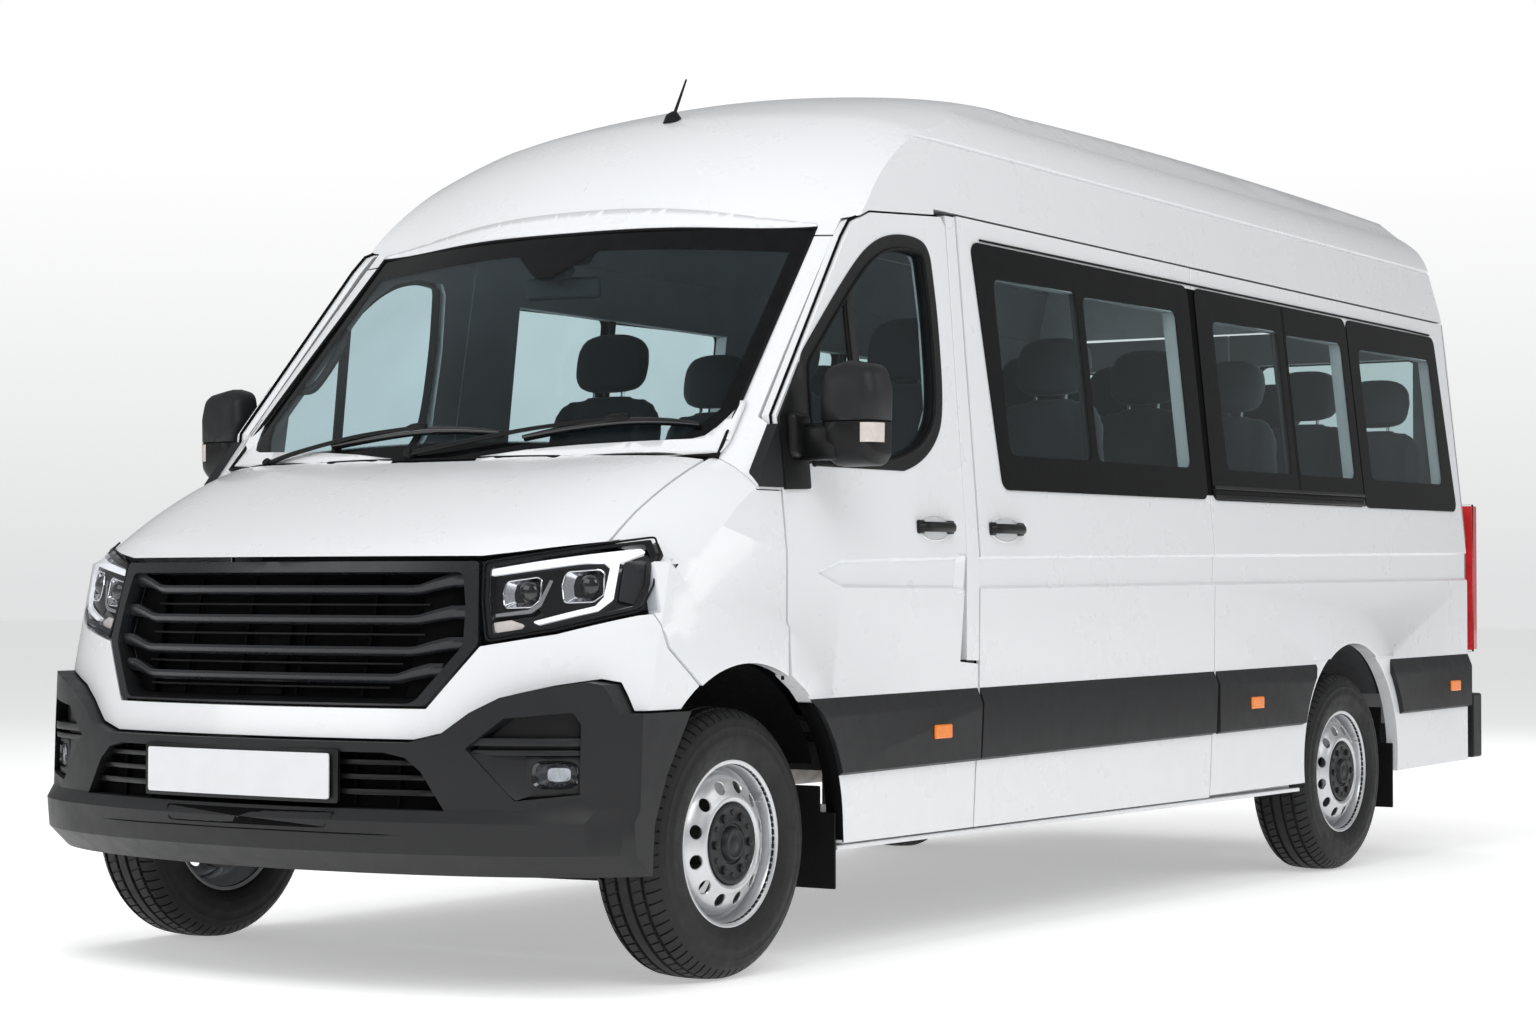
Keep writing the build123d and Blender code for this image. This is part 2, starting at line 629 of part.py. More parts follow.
with BuildPart() as rear_frame:
    add(shell)
    add(block(-1100, 1100, 4890, 5000, 340, rail_z(4885) - 3), mode=Mode.INTERSECT)
    add(front_prism(both([(0, 606), (896, 606), (896, 1300), (829.5, 2012), (0, 2038)]), 4800, 5000),
        mode=Mode.SUBTRACT)
    add(block(-880, 880, 4800, 5000, 300, 470), mode=Mode.SUBTRACT)
save(rear_frame, "rear_frame")

with BuildPart() as rear_bumper:
    with BuildSketch(Plane.XY.offset(345)):
        with BuildLine():
            Polyline([(-1002, fy(4940)), (-1002, fy(5018)), (-960, fy(5050)), (-500, fy(5062)), (500, fy(5062)),
                      (960, fy(5050)), (1002, fy(5018)), (1002, fy(4940))], close=True)
        make_face()
    extrude(amount=245)
    add(block(-880, 880, 4930, 4975, 340, 560), mode=Mode.SUBTRACT)
    # step
    add(block(-420, 420, 5010, 5064, 470, 592), mode=Mode.SUBTRACT)
    add(block(-418, 418, 4990, 5062, 452, 469.9))
save(rear_bumper, "rear_bumper")

with BuildPart() as tail_lights:
    with BuildSketch(Plane.XY.offset(757)):
        with BuildLine():
            Polyline([(905, fy(4930.5)), (905, fy(4972)), (962, fy(5004)), (996, fy(4990)), (1003, fy(4930.5))],
                     close=True)
        make_face()
    extrude(amount=553)
    mirror(about=Plane.YZ)
save(tail_lights, "tail_lights")

# ---------------------------------------------------------------- floor, chassis, engine
BOX_R = ARCHES[1][2] + 25
with BuildPart() as floor_pan:
    add(block(-940, 940, 520, 4840, FLOOR_Z - 30, FLOOR_Z))
    add(block(-470, 470, 130, 520, FLOOR_Z - 30, FLOOR_Z))
    add(block(-470, 470, 130, 170, 594, 1150))
    # wheel boxes over the rear wheels
    add(block(-940, 940, 3300, 4320, FLOOR_Z - 30, FLOOR_Z + 300) & drum(-940, 940, *ARCHES[1][:2], BOX_R))
    add(drum(-941, 941, *ARCHES[1][:2], BOX_R - 15), mode=Mode.SUBTRACT)
    add(block(-715, 715, 3300, 4320, FLOOR_Z, 1000), mode=Mode.SUBTRACT)
    for side in (1, -1):
        add(drum(side * 700, side * 715, *ARCHES[1][:2], BOX_R) & block(-940, 940, 3300, 4320, FLOOR_Z - 30, 1000))
    add(block(-715, 715, 3300, 4320, FLOOR_Z - 30, FLOOR_Z))
save(floor_pan, "floor_pan")

with BuildPart() as chassis:
    for side in (1, -1):
        add(block(side * 370, side * 430, -600, 4850, 470, 590))
        # sill beams that carry the jacking points
        add(block(side * 800, side * 880, 520, 3340, 300, 360))
        for y in (900, 1900, 2900):
            add(block(side * 425, side * 880, y, y + 50, 480, 560))
            add(block(side * 820, side * 880, y, y + 50, 355, 560))
    for y in (-560, 700, 1900, 3000, 4600):
        add(block(-380, 380, y, y + 60, 480, 580))
    # rear towing eye
    add(block(385, 415, 4700, 4850, 338, 475))
    add(block(385, 415, 4700, 5010, 250, 338))
    add(drum(380, 420, 4975, 290, TOWING_EYE_R), mode=Mode.SUBTRACT)
save(chassis, "chassis")

with BuildPart() as fuel_tank:
    add(block(460, 770, 1200, 1800, 300, 470))
    fillet(fuel_tank.edges().filter_by(Axis.Y), 30)
save(fuel_tank, "fuel_tank")

with BuildPart() as exhaust:
    with BuildSketch(Plane.XZ.offset(-fy(2300))):
        with Locations((-560, 380)):
            Ellipse(110, 70)
    extrude(amount=-650)
    with BuildSketch(Plane.XZ.offset(-fy(700))):
        with Locations((-560, 380)):
            Circle(30)
    extrude(amount=-1700)
save(exhaust, "exhaust")

with BuildPart() as engine:
    add(block(-280, 280, -420, 90, 440, 1000))
    fillet(engine.edges().filter_by(Axis.Y), 30)
save(engine, "engine")

# ---------------------------------------------------------------- wheel arch liners and mud flaps
with BuildPart() as wheel_liners:
    for side in (1, -1):
        x0, x1 = side * 560, side * 932
        add(drum(x0, x1, 4, 362, 462) - drum(side * 500, side * 1000, 4, 362, 456))
    add(block(-1100, 1100, -420, 428, 365, 900), mode=Mode.INTERSECT)
    add(block(-560, 560, -600, 600, 300, 1000), mode=Mode.SUBTRACT)
save(wheel_liners, "wheel_liners")

with BuildPart() as mud_flaps:
    for side in (1, -1):
        add(block(side * 760, side * 990, 452, 460, 196, 400))
        add(block(side * 760, side * 940, 452, 460, 400, 470))
        add(block(side * 760, side * 985, 4192, 4200, 196, 430))
        add(block(side * 760, side * 940, 4192, 4200, 430, 560))
save(mud_flaps, "mud_flaps")

# ---------------------------------------------------------------- front axle, knuckles, rear axle
with BuildPart() as front_axle:
    add(block(-360, 360, -90, 90, 300, 400))
    for side in (1, -1):
        # lower arm
        add(plan_prism([(side * 340, -80), (side * 340, 80), (side * 700, 26), (side * 716, 0), (side * 700, -26)],
                       236, 262))
        add(block(side * 300, side * 360, -60, 60, 236, 400))
        # strut with its spring
        add(post(side * 640, 0, 499, 808, 55))
        add(plan_prism([(side * 610, -30), (side * 610, 30), (side * 680, 30), (side * 680, -30)], 480, 500))
        add(block(side * 300, side * 640, -40, 40, 592, 622))
        add(block(side * 300, side * 368, -40, 40, 390, 622))
save(front_axle, "front_axle")

for side in (1, -1):
    word = names[side]
    with BuildPart() as knuckle:
        add(post(side * KINGPIN_X, 0, 262.5, 470, 34))
        add(drum(side * 760, side * (WHEEL_X + 51.6), 0, TYRE_R, 60))
        # brake disc and caliper
        add(drum(side * 792, side * 818, 0, TYRE_R, 150))
        add(block(side * 775, side * 832, 95, 160, TYRE_R - 60, TYRE_R + 60))
        # steering arm
        add(block(side * 700, side * 745, 20, 130, 300, 326))
    save(knuckle, word + "_knuckle")

with BuildPart() as rear_axle:
    add(drum(-760, 760, WHEELBASE, TYRE_R, 42))
    add(drum(-110, 110, WHEELBASE, TYRE_R, 130))
    for side in (1, -1):
        add(drum(side * 735, side * 770, WHEELBASE, TYRE_R, 150))
        add(drum(side * 700, side * (WHEEL_X + 51.6), WHEELBASE, TYRE_R, 60))
        # leaf spring and its hangers
        add(block(side * 500, side * 570, 3130, 4440, 402, 424))
        add(block(side * 500, side * 570, 3660, 3890, 380, 403))
        for y in (3120, 4410):
            add(block(side * 430.5, side * 570, y, y + 40, 402, 560))
save(rear_axle, "rear_axle")

# ---------------------------------------------------------------- wheels
# name, side, behind front axle
WHEELS = [("left_front", 1, 0), ("right_front", -1, 0), ("left_rear", 1, WHEELBASE), ("right_rear", -1, WHEELBASE)]
HALF_RIM = 88
# tyre half section: out from the middle, radius
TYRE_SECTION = [(0, TYRE_R), (52, TYRE_R - 1), (76, TYRE_R - 6), (92, TYRE_R - 17), (102, TYRE_R - 34),
                (108, TYRE_R - 64), (108, TYRE_R - 90), (101, 225), (92, 216.3), (86, 201.8), (-86, 201.8)]
# rim section, outwards positive: flange, barrel, drop centre
RIM_SECTION = [(88, 214.4), (93, 215.3), (93, 207.6), (84, 197), (72, 193), (40, 193), (34, 180.4), (-30, 180.4),
               (-38, 191), (-74, 193), (-84, 197), (-93, 207.6), (-93, 215.3), (-88, 214.4), (-82, 201.5),
               (-70, 199.8), (-36, 199.8), (-26, 188.2), (30, 188.2), (36, 199.8), (72, 199.8), (82, 201.5)]
# disc section: rolled crown inside the barrel, flat hub seat
DISC_SECTION = [(30, 184), (30, 178), (56, 171), (72, 158), (83, 142), (89, 124), (90, 110), (84, 98), (66, 88),
                (52, 82), (52, 0), (60, 0), (60, 78), (72, 84), (90, 94), (97, 108), (97.5, 122), (91, 144),
                (79, 164), (62, 178), (38, 184.5)]


def revolved(side, y, points):
    """section (out from the wheel middle, radius) turned about the wheel axis"""
    with BuildPart() as p:
        with BuildSketch(Plane(origin=(side * WHEEL_X, fy(y), TYRE_R), x_dir=(side, 0, 0), z_dir=(0, -1, 0))):
            with BuildLine():
                Polyline(points, close=True)
            make_face()
        revolve(axis=Axis((side * WHEEL_X, fy(y), TYRE_R), (1, 0, 0)))
    return p.part


for name, side, y in WHEELS:
    with BuildPart() as tyre:
        half = [p for p in TYRE_SECTION[:-1]]
        add(revolved(side, y, [(-a, r) for a, r in half[:0:-1]] + half))
    save(tyre, name + "_tyre")
    with BuildPart() as rim:
        add(revolved(side, y, RIM_SECTION))
        add(revolved(side, y, DISC_SECTION))
        with BuildSketch(Plane.YZ.offset(side * (WHEEL_X + 50))):
            with Locations((fy(y), TYRE_R)):
                with PolarLocations(146, 12):
                    Circle(18)
        extrude(amount=side * 60, mode=Mode.SUBTRACT)
        add(drum(side * (WHEEL_X + 56), side * (WHEEL_X + 97), y, TYRE_R, 82))
        add(drum(side * (WHEEL_X + 92), side * (WHEEL_X + 101), y, TYRE_R, 103))
        add(drum(side * (WHEEL_X + 99), side * (WHEEL_X + 107), y, TYRE_R, 40))
    save(rim, name + "_wheel")

# ---------------------------------------------------------------- cabin
wheel_plane = Plane(origin=(-430, fy(665), 1225), x_dir=(1, 0, 0), z_dir=(0, 0.5, 0.866))
with BuildPart() as dashboard:
    with BuildSketch(Plane.YZ.offset(-860)):
        with BuildLine():
            Polyline([(fy(y), z) for y, z in [(215, 1180), (300, 1205), (470, 1215), (560, 1160), (575, 1060),
                      (500, 960), (470, 860), (330, 860), (215, 960)]], close=True)
        make_face()
    extrude(amount=1720)
    # centre console down to the floor
    add(block(-150, 150, 300, 560, FLOOR_Z + 0.4, 900))
    # room for the steering column
    with BuildSketch(wheel_plane.offset(-20)):
        Circle(40)
    extrude(amount=-200, mode=Mode.SUBTRACT)
save(dashboard, "dashboard")

with BuildPart() as steering_wheel:
    with BuildSketch(wheel_plane):
        Circle(195)
        Circle(168, mode=Mode.SUBTRACT)
        Rectangle(350, 56)
        with Locations((0, -90)):
            Rectangle(50, 170)
        Circle(72)
    extrude(amount=26)
    with BuildSketch(wheel_plane):
        Circle(38)
    extrude(amount=-180)
save(steering_wheel, "steering_wheel")


def seat_base(x, y, width, leg):
    """pedestal and cushion; leg: middle of the pedestal across"""
    leg_w = width * 0.36 if leg == x else 104
    with BuildPart() as s:
        add(block(leg - leg_w, leg + leg_w, y + 70, y + 400, FLOOR_Z + 0.4, 945))
        add(block(x - width / 2, x + width / 2, y, y + 455, 944, 1065))
        fillet(s.edges().group_by(Axis.Z)[-1], 30)
    return s.part


def seat_back(x, y, width):
    """leaning back with its headrest"""
    with BuildPart() as s:
        with BuildSketch(Plane.YZ.offset(x - width / 2)) as side_view:
            with BuildLine():
                Polyline([(fy(y + a), z) for a, z in [(456, 990), (566, 990), (640, 1610), (560, 1630), (456, 1080)]],
                         close=True)
            make_face()
        extrude(amount=width)
        fillet(s.edges().filter_by(lambda e: e.length > 300 and abs(e.center().X - x) > width / 2 - 1), 25)
        with BuildSketch(Plane.YZ.offset(x - 125)):
            with BuildLine():
                Polyline([(fy(y + a), z) for a, z in [(572, 1600), (632, 1600), (655, 1790), (575, 1800), (560, 1640)]],
                         close=True)
            make_face()
        extrude(amount=250)
    return s.part


# seat middle across, cushion front behind front axle, width
FRONT_SEATS = [(-430, 730, 480), (215, 730, 440), (665, 730, 440)]
# passenger rows: cushion front behind front axle, seat middles across, pedestal middles across
ROWS = [
    (1640, (-665, 220, 655), (-665, 220, 655)),
    (2280, (-665, 220, 655), (-665, 220, 655)),
    (2920, (-665, 220, 655), (-665, 220, 655)),
    (3560, (-665, 220, 655), (-585, 220, 575)),
    (4190, (-665, -222, 221, 664), (-665, -222, 221, 664)),
]
with BuildPart() as front_seats:
    for x, y, width in FRONT_SEATS:
        add(seat_base(x, y, width, x))
        add(seat_back(x, y, width))
save(front_seats, "front_seats")
with BuildPart() as passenger_seats:
    for y, places, legs in ROWS:
        for x, leg in zip(places, legs):
            add(seat_base(x, y, 430, leg))
            add(seat_back(x, y, 430))
save(passenger_seats, "passenger_seats")
print("seats", len(front_seats.solids()), len(passenger_seats.solids()))
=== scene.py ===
import bmesh
import bpy
import math
from mathutils import Matrix, Vector
from mathutils.bvhtree import BVHTree


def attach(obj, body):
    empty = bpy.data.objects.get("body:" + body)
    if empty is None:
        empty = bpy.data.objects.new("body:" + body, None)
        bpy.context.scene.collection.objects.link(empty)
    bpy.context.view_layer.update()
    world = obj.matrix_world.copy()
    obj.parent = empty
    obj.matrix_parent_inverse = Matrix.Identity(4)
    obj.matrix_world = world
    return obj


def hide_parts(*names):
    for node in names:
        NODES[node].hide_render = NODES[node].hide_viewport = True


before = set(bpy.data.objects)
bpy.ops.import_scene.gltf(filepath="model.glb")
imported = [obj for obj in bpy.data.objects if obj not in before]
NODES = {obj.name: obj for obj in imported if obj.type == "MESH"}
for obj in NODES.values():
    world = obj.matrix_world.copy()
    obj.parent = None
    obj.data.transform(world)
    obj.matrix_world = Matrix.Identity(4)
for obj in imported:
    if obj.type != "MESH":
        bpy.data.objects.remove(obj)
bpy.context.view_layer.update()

FA = -2.121          # front axle, metres along Y
WB = 3.775
R_TYRE = 0.348
WX = 0.876


def P(x, v, z):
    """millimetres: across, behind the front axle, height"""
    return Vector((x / 1000, FA + v / 1000, z / 1000))


# ------------------------------------------------------------------ materials
def new_material(name):
    m = bpy.data.materials.new(name)
    m.use_nodes = True
    nt = m.node_tree
    nt.nodes.clear()
    out = nt.nodes.new("ShaderNodeOutputMaterial")
    return m, nt, out


def noise_of(nt, coord, scale, detail=3.0, rough=0.5, stretch=None):
    mp = nt.nodes.new("ShaderNodeMapping")
    nt.links.new(coord, mp.inputs["Vector"])
    if stretch:
        mp.inputs["Scale"].default_value = stretch
    n = nt.nodes.new("ShaderNodeTexNoise")
    n.inputs["Scale"].default_value = scale
    n.inputs["Detail"].default_value = detail
    n.inputs["Roughness"].default_value = rough
    nt.links.new(mp.outputs["Vector"], n.inputs["Vector"])
    return n.outputs["Fac"]


def spread(nt, fac, lo, hi, from_lo=0.3, from_hi=0.7):
    r = nt.nodes.new("ShaderNodeMapRange")
    r.inputs["From Min"].default_value = from_lo
    r.inputs["From Max"].default_value = from_hi
    r.inputs["To Min"].default_value = lo
    r.inputs["To Max"].default_value = hi
    nt.links.new(fac, r.inputs["Value"])
    return r.outputs["Result"]


def mix_colour(nt, fac, a, b):
    m = nt.nodes.new("ShaderNodeMix")
    m.data_type = "RGBA"
    for key, c in ((6, a), (7, b)):
        if hasattr(c, "links"):
            nt.links.new(c, m.inputs[key])
        else:
            m.inputs[key].default_value = (*c, 1)
    if hasattr(fac, "links"):
        nt.links.new(fac, m.inputs[0])
    else:
        m.inputs[0].default_value = fac
    return m.outputs[2]


def surface(name, colour, rough, metal=0.0, coat=0.0, coat_rough=0.04, ior=1.5, vary=0.06, patch_scale=6.0,
            rough_vary=0.06, bump=None, fine=None, sheen=0.0, emit=None, level=0.5, dust=None, stretch=None):
    """principled material whose colour, roughness and relief vary with object-space noise"""
    m, nt, out = new_material(name)
    b = nt.nodes.new("ShaderNodeBsdfPrincipled")
    nt.links.new(b.outputs[0], out.inputs["Surface"])
    tc = nt.nodes.new("ShaderNodeTexCoord")
    coord = tc.outputs["Object"]
    b.inputs["Metallic"].default_value = metal
    b.inputs["IOR"].default_value = ior
    b.inputs["Coat Weight"].default_value = coat
    b.inputs["Coat Roughness"].default_value = coat_rough
    b.inputs["Specular IOR Level"].default_value = level
    if sheen:
        b.inputs["Sheen Weight"].default_value = sheen
        b.inputs["Sheen Roughness"].default_value = 0.5
    n1 = noise_of(nt, coord, patch_scale, 4, stretch=stretch)
    dark = tuple(c * (1 - vary) for c in colour)
    light = tuple(min(1, c * (1 + vary * 0.5)) for c in colour)
    col = mix_colour(nt, spread(nt, n1, 0, 1), dark, light)
    if dust:
        # road dust: thicker towards the ground
        sx = nt.nodes.new("ShaderNodeSeparateXYZ")
        nt.links.new(coord, sx.inputs[0])
        low = spread(nt, sx.outputs["Z"], 1.0, 0.0, dust[2], dust[3])
        n2 = noise_of(nt, coord, 14, 5, 0.65)
        mul = nt.nodes.new("ShaderNodeMath")
        mul.operation = "MULTIPLY"
        nt.links.new(low, mul.inputs[0])
        nt.links.new(spread(nt, n2, 0.15, dust[1]), mul.inputs[1])
        col = mix_colour(nt, mul.outputs[0], col, dust[0])
    nt.links.new(col, b.inputs["Base Color"])
    n3 = noise_of(nt, coord, patch_scale * 4, 3)
    nt.links.new(spread(nt, n3, max(0.01, rough - rough_vary), rough + rough_vary), b.inputs["Roughness"])
    last = None
    for spec in (bump, fine):
        if spec:
            scale, strength, distance = spec
            bn = nt.nodes.new("ShaderNodeBump")
            bn.inputs["Strength"].default_value = strength
            bn.inputs["Distance"].default_value = distance
            nt.links.new(noise_of(nt, coord, scale, 2, stretch=stretch), bn.inputs["Height"])
            if last:
                nt.links.new(last, bn.inputs["Normal"])
            last = bn.outputs["Normal"]
    if last:
        nt.links.new(last, b.inputs["Normal"])
    if emit:
        b.inputs["Emission Color"].default_value = (*emit[0], 1)
        b.inputs["Emission Strength"].default_value = emit[1]
    return m


def pane(name, tint, opacity, gloss=1.0, frit=None, wave=0.0):
    """thin glass: clear tinted sheet with a mirror-like face; frit(nt, coord) gives 1 where it is printed black"""
    m, nt, out = new_material(name)
    tc = nt.nodes.new("ShaderNodeTexCoord")
    coord = tc.outputs["Object"]
    tr = nt.nodes.new("ShaderNodeBsdfTransparent")
    n0 = noise_of(nt, coord, 2.2, 2)
    nt.links.new(mix_colour(nt, spread(nt, n0, 0, 1), tuple(c * 0.96 for c in tint), tint), tr.inputs["Color"])
    gl = nt.nodes.new("ShaderNodeBsdfPrincipled")
    gl.inputs["Base Color"].default_value = (0.93, 0.95, 0.97, 1)
    gl.inputs["Metallic"].default_value = 1.0
    nt.links.new(spread(nt, noise_of(nt, coord, 9, 3), 0.015, 0.035), gl.inputs["Roughness"])
    # mirror share: low face on, rising steeply at a flat angle, the same from both sides of the pane
    lw = nt.nodes.new("ShaderNodeLayerWeight")
    lw.inputs["Blend"].default_value = 0.5
    steep = nt.nodes.new("ShaderNodeMath")
    steep.operation = "POWER"
    nt.links.new(lw.outputs["Facing"], steep.inputs[0])
    steep.inputs[1].default_value = 5.0
    fac = spread(nt, steep.outputs[0], opacity, 0.7 * gloss, 0.0, 1.0)
    mx = nt.nodes.new("ShaderNodeMixShader")
    nt.links.new(fac, mx.inputs[0])
    nt.links.new(tr.outputs[0], mx.inputs[1])
    nt.links.new(gl.outputs[0], mx.inputs[2])
    result = mx.outputs[0]
    if frit:
        black = nt.nodes.new("ShaderNodeBsdfPrincipled")
        black.inputs["IOR"].default_value = 1.52
        black.inputs["Specular IOR Level"].default_value = 0.16
        nt.links.new(mix_colour(nt, spread(nt, noise_of(nt, coord, 30, 2), 0, 1), (0.0030, 0.0032, 0.0036),
                                (0.0050, 0.0053, 0.0060)), black.inputs["Base Color"])
        nt.links.new(spread(nt, noise_of(nt, coord, 12, 3), 0.06, 0.12), black.inputs["Roughness"])
        m2 = nt.nodes.new("ShaderNodeMixShader")
        nt.links.new(frit(nt, coord), m2.inputs[0])
        nt.links.new(result, m2.inputs[1])
        nt.links.new(black.outputs[0], m2.inputs[2])
        result = m2.outputs[0]
    nt.links.new(result, out.inputs["Surface"])
    return m


def math_node(nt, op, a, b=None, c=None):
    n = nt.nodes.new("ShaderNodeMath")
    n.operation = op
    for i, v in enumerate((a, b, c)):
        if v is None:
            continue
        if hasattr(v, "links"):
            nt.links.new(v, n.inputs[i])
        else:
            n.inputs[i].default_value = v
    return n.outputs[0]


def rounded_box_mask(nt, u, w, boxes, edge=0.002):
    """1 outside every rounded rectangle (u0, u1, w0, w1, radius), 0 inside one of them"""
    total = None
    for u0, u1, w0, w1, r in boxes:
        du = math_node(nt, "SUBTRACT", math_node(nt, "ABSOLUTE", math_node(nt, "SUBTRACT", u, (u0 + u1) / 2)),
                       (u1 - u0) / 2 - r)
        if callable(w0):
            mid = w0(u)
            dw = math_node(nt, "SUBTRACT", math_node(nt, "ABSOLUTE", math_node(nt, "SUBTRACT", w, mid)), w1 - r)
        else:
            dw = math_node(nt, "SUBTRACT", math_node(nt, "ABSOLUTE", math_node(nt, "SUBTRACT", w, (w0 + w1) / 2)),
                           (w1 - w0) / 2 - r)
        du = math_node(nt, "MAXIMUM", du, 0.0)
        dw = math_node(nt, "MAXIMUM", dw, 0.0)
        d = math_node(nt, "SQRT", math_node(nt, "ADD", math_node(nt, "MULTIPLY", du, du),
                                            math_node(nt, "MULTIPLY", dw, dw)))
        f = spread(nt, math_node(nt, "SUBTRACT", d, r), 0.0, 1.0, -edge / 2, edge / 2)
        total = f if total is None else math_node(nt, "MINIMUM", total, f)
    return total


WHITE = (0.80, 0.815, 0.835)
paint = surface("white_paint", WHITE, 0.28, coat=0.8, coat_rough=0.10, vary=0.006, patch_scale=1.6, rough_vary=0.012,
                fine=(420, 0.010, 0.0004), dust=((0.50, 0.48, 0.45), 0.05, 0.25, 0.75))
trim = surface("grained_trim", (0.0130, 0.0135, 0.0150), 0.46, level=0.34, vary=0.10, patch_scale=5, rough_vary=0.05,
               bump=(900, 0.25, 0.0008), fine=(260, 0.10, 0.0008), dust=((0.045, 0.044, 0.042), 0.20, 0.2, 0.7))
black_gloss = surface("black_gloss", (0.008, 0.008, 0.010), 0.10, coat=0.7, vary=0.15, patch_scale=8, rough_vary=0.03)
satin_black = surface("satin_black", (0.0060, 0.0062, 0.0068), 0.38, level=0.30, vary=0.12, patch_scale=7, rough_vary=0.05,
                      fine=(500, 0.12, 0.0006))
bar_black = surface("grille_bar_black", (0.012, 0.013, 0.0155), 0.30, coat=0.18, level=0.4, coat_rough=0.2, vary=0.10,
                    patch_scale=7, rough_vary=0.04, fine=(700, 0.06, 0.0006))
# near-matte black: the real black of liners, seams and grille parts, and also painted shade where it fills gaps, slots
# and the backs of openings
black_and_recess_shade = surface("black_and_painted_recess_shade", (0.0022, 0.0022, 0.0025), 0.8, level=0.08, vary=0.2, patch_scale=9, fine=(300, 0.2, 0.001))
rubber = surface("seal_rubber", (0.0045, 0.0045, 0.005), 0.62, level=0.22, vary=0.15, patch_scale=20, bump=(350, 0.2, 0.0008))
tyre_mat = surface("tyre_rubber_worn", (0.0085, 0.0085, 0.009), 0.56, level=0.34, vary=0.25, patch_scale=9, rough_vary=0.08,
                   bump=(260, 0.35, 0.0012), fine=(1100, 0.25, 0.0006), dust=((0.030, 0.029, 0.027), 0.30, 0.0, 0.5))
silver = surface("silver_wheel_paint", (0.62, 0.63, 0.645), 0.34, metal=0.75, coat=0.25, vary=0.06, patch_scale=11,
                 rough_vary=0.06, fine=(900, 0.10, 0.0005))
cap_black = surface("hub_cap_black", (0.010, 0.0105, 0.012), 0.42, level=0.35, vary=0.12, patch_scale=16, bump=(700, 0.2, 0.0006))
chrome = surface("bright_metal", (0.80, 0.81, 0.83), 0.10, metal=1.0, vary=0.04, patch_scale=30, rough_vary=0.04)
steel_dark = surface("chassis_black", (0.010, 0.010, 0.011), 0.6, level=0.3, vary=0.3, patch_scale=12, rough_vary=0.1,
                     bump=(120, 0.4, 0.002), dust=((0.04, 0.036, 0.032), 0.4, 0.2, 0.7))
iron = surface("brake_iron", (0.10, 0.095, 0.09), 0.5, metal=0.8, vary=0.3, patch_scale=25, bump=(300, 0.2, 0.001))
exhaust_mat = surface("exhaust_steel", (0.33, 0.31, 0.29), 0.42, metal=0.9, vary=0.35, patch_scale=14,
                      bump=(90, 0.3, 0.002))
cabin_grey = surface("cabin_plastic", (0.030, 0.031, 0.035), 0.62, vary=0.10, patch_scale=8,
                     bump=(800, 0.3, 0.0008))
lining = surface("cabin_lining", (0.34, 0.34, 0.35), 0.8, vary=0.08, patch_scale=6, bump=(500, 0.4, 0.001))
floor_mat = surface("cabin_floor", (0.055, 0.056, 0.060), 0.75, vary=0.2, patch_scale=20, bump=(180, 0.4, 0.0015))
white_lamp = surface("light_guide", (0.86, 0.87, 0.90), 0.25, coat=0.6, vary=0.03, patch_scale=40, rough_vary=0.03,
                     bump=(160, 0.10, 0.001), emit=((0.95, 0.97, 1.0), 0.35))
amber = surface("amber_lens", (0.82, 0.20, 0.004), 0.24, coat=0.45, vary=0.12, patch_scale=60, bump=(240, 0.35, 0.0015),
                emit=((1.0, 0.30, 0.01), 0.10))
clear_amber = surface("indicator_lens", (0.66, 0.60, 0.56), 0.22, coat=0.7, vary=0.12, patch_scale=45,
                      bump=(240, 0.5, 0.002))
# faint red glow: lamp light on the tail lamps; the rear reflectors share it, where it is a painted glow
red = surface("red_lens", (0.55, 0.008, 0.010), 0.16, coat=0.9, vary=0.22, patch_scale=18, bump=(130, 0.15, 0.0012),
              emit=((0.8, 0.01, 0.01), 0.05))
plate_white = surface("blank_plate", (0.74, 0.75, 0.77), 0.38, coat=0.4, vary=0.03, patch_scale=12,
                      fine=(380, 0.12, 0.0006))
mirror_face = surface("mirror_silver", (0.78, 0.79, 0.81), 0.03, metal=1.0, vary=0.02, patch_scale=12, rough_vary=0.01)


def weave(name, colour, thread=260.0):
    """woven cloth: two crossed thread waves, sheen and slight patches"""
    m, nt, out = new_material(name)
    b = nt.nodes.new("ShaderNodeBsdfPrincipled")
    nt.links.new(b.outputs[0], out.inputs["Surface"])
    coord = nt.nodes.new("ShaderNodeTexCoord").outputs["Object"]
    heights = []
    for turn in ((0.0, 0.0, 0.0), (0.0, math.pi / 2, 0.4)):
        mp = nt.nodes.new("ShaderNodeMapping")
        mp.inputs["Rotation"].default_value = turn
        nt.links.new(coord, mp.inputs["Vector"])
        w = nt.nodes.new("ShaderNodeTexWave")
        w.inputs["Scale"].default_value = thread
        w.inputs["Distortion"].default_value = 1.5
        w.inputs["Detail"].default_value = 1
        nt.links.new(mp.outputs["Vector"], w.inputs["Vector"])
        heights.append(w.outputs["Fac"])
    h = math_node(nt, "MULTIPLY", heights[0], heights[1])
    patchy = spread(nt, noise_of(nt, coord, 7, 4), 0, 1)
    base = mix_colour(nt, patchy, tuple(c * 0.82 for c in colour), tuple(c * 1.1 for c in colour))
    # thread crests lighter than the dips: painted highlight and shade of the weave's relief
    nt.links.new(mix_colour(nt, h, base, tuple(min(1, c * 1.7) for c in colour)), b.inputs["Base Color"])
    b.inputs["Sheen Weight"].default_value = 0.25
    b.inputs["Sheen Roughness"].default_value = 0.45
    nt.links.new(spread(nt, patchy, 0.82, 0.95, 0, 1), b.inputs["Roughness"])
    bn = nt.nodes.new("ShaderNodeBump")
    bn.inputs["Strength"].default_value = 0.4
    bn.inputs["Distance"].default_value = 0.001
    nt.links.new(h, bn.inputs["Height"])
    nt.links.new(bn.outputs["Normal"], b.inputs["Normal"])
    return m


seat_cloth = weave("seat_cloth", (0.040, 0.043, 0.050))


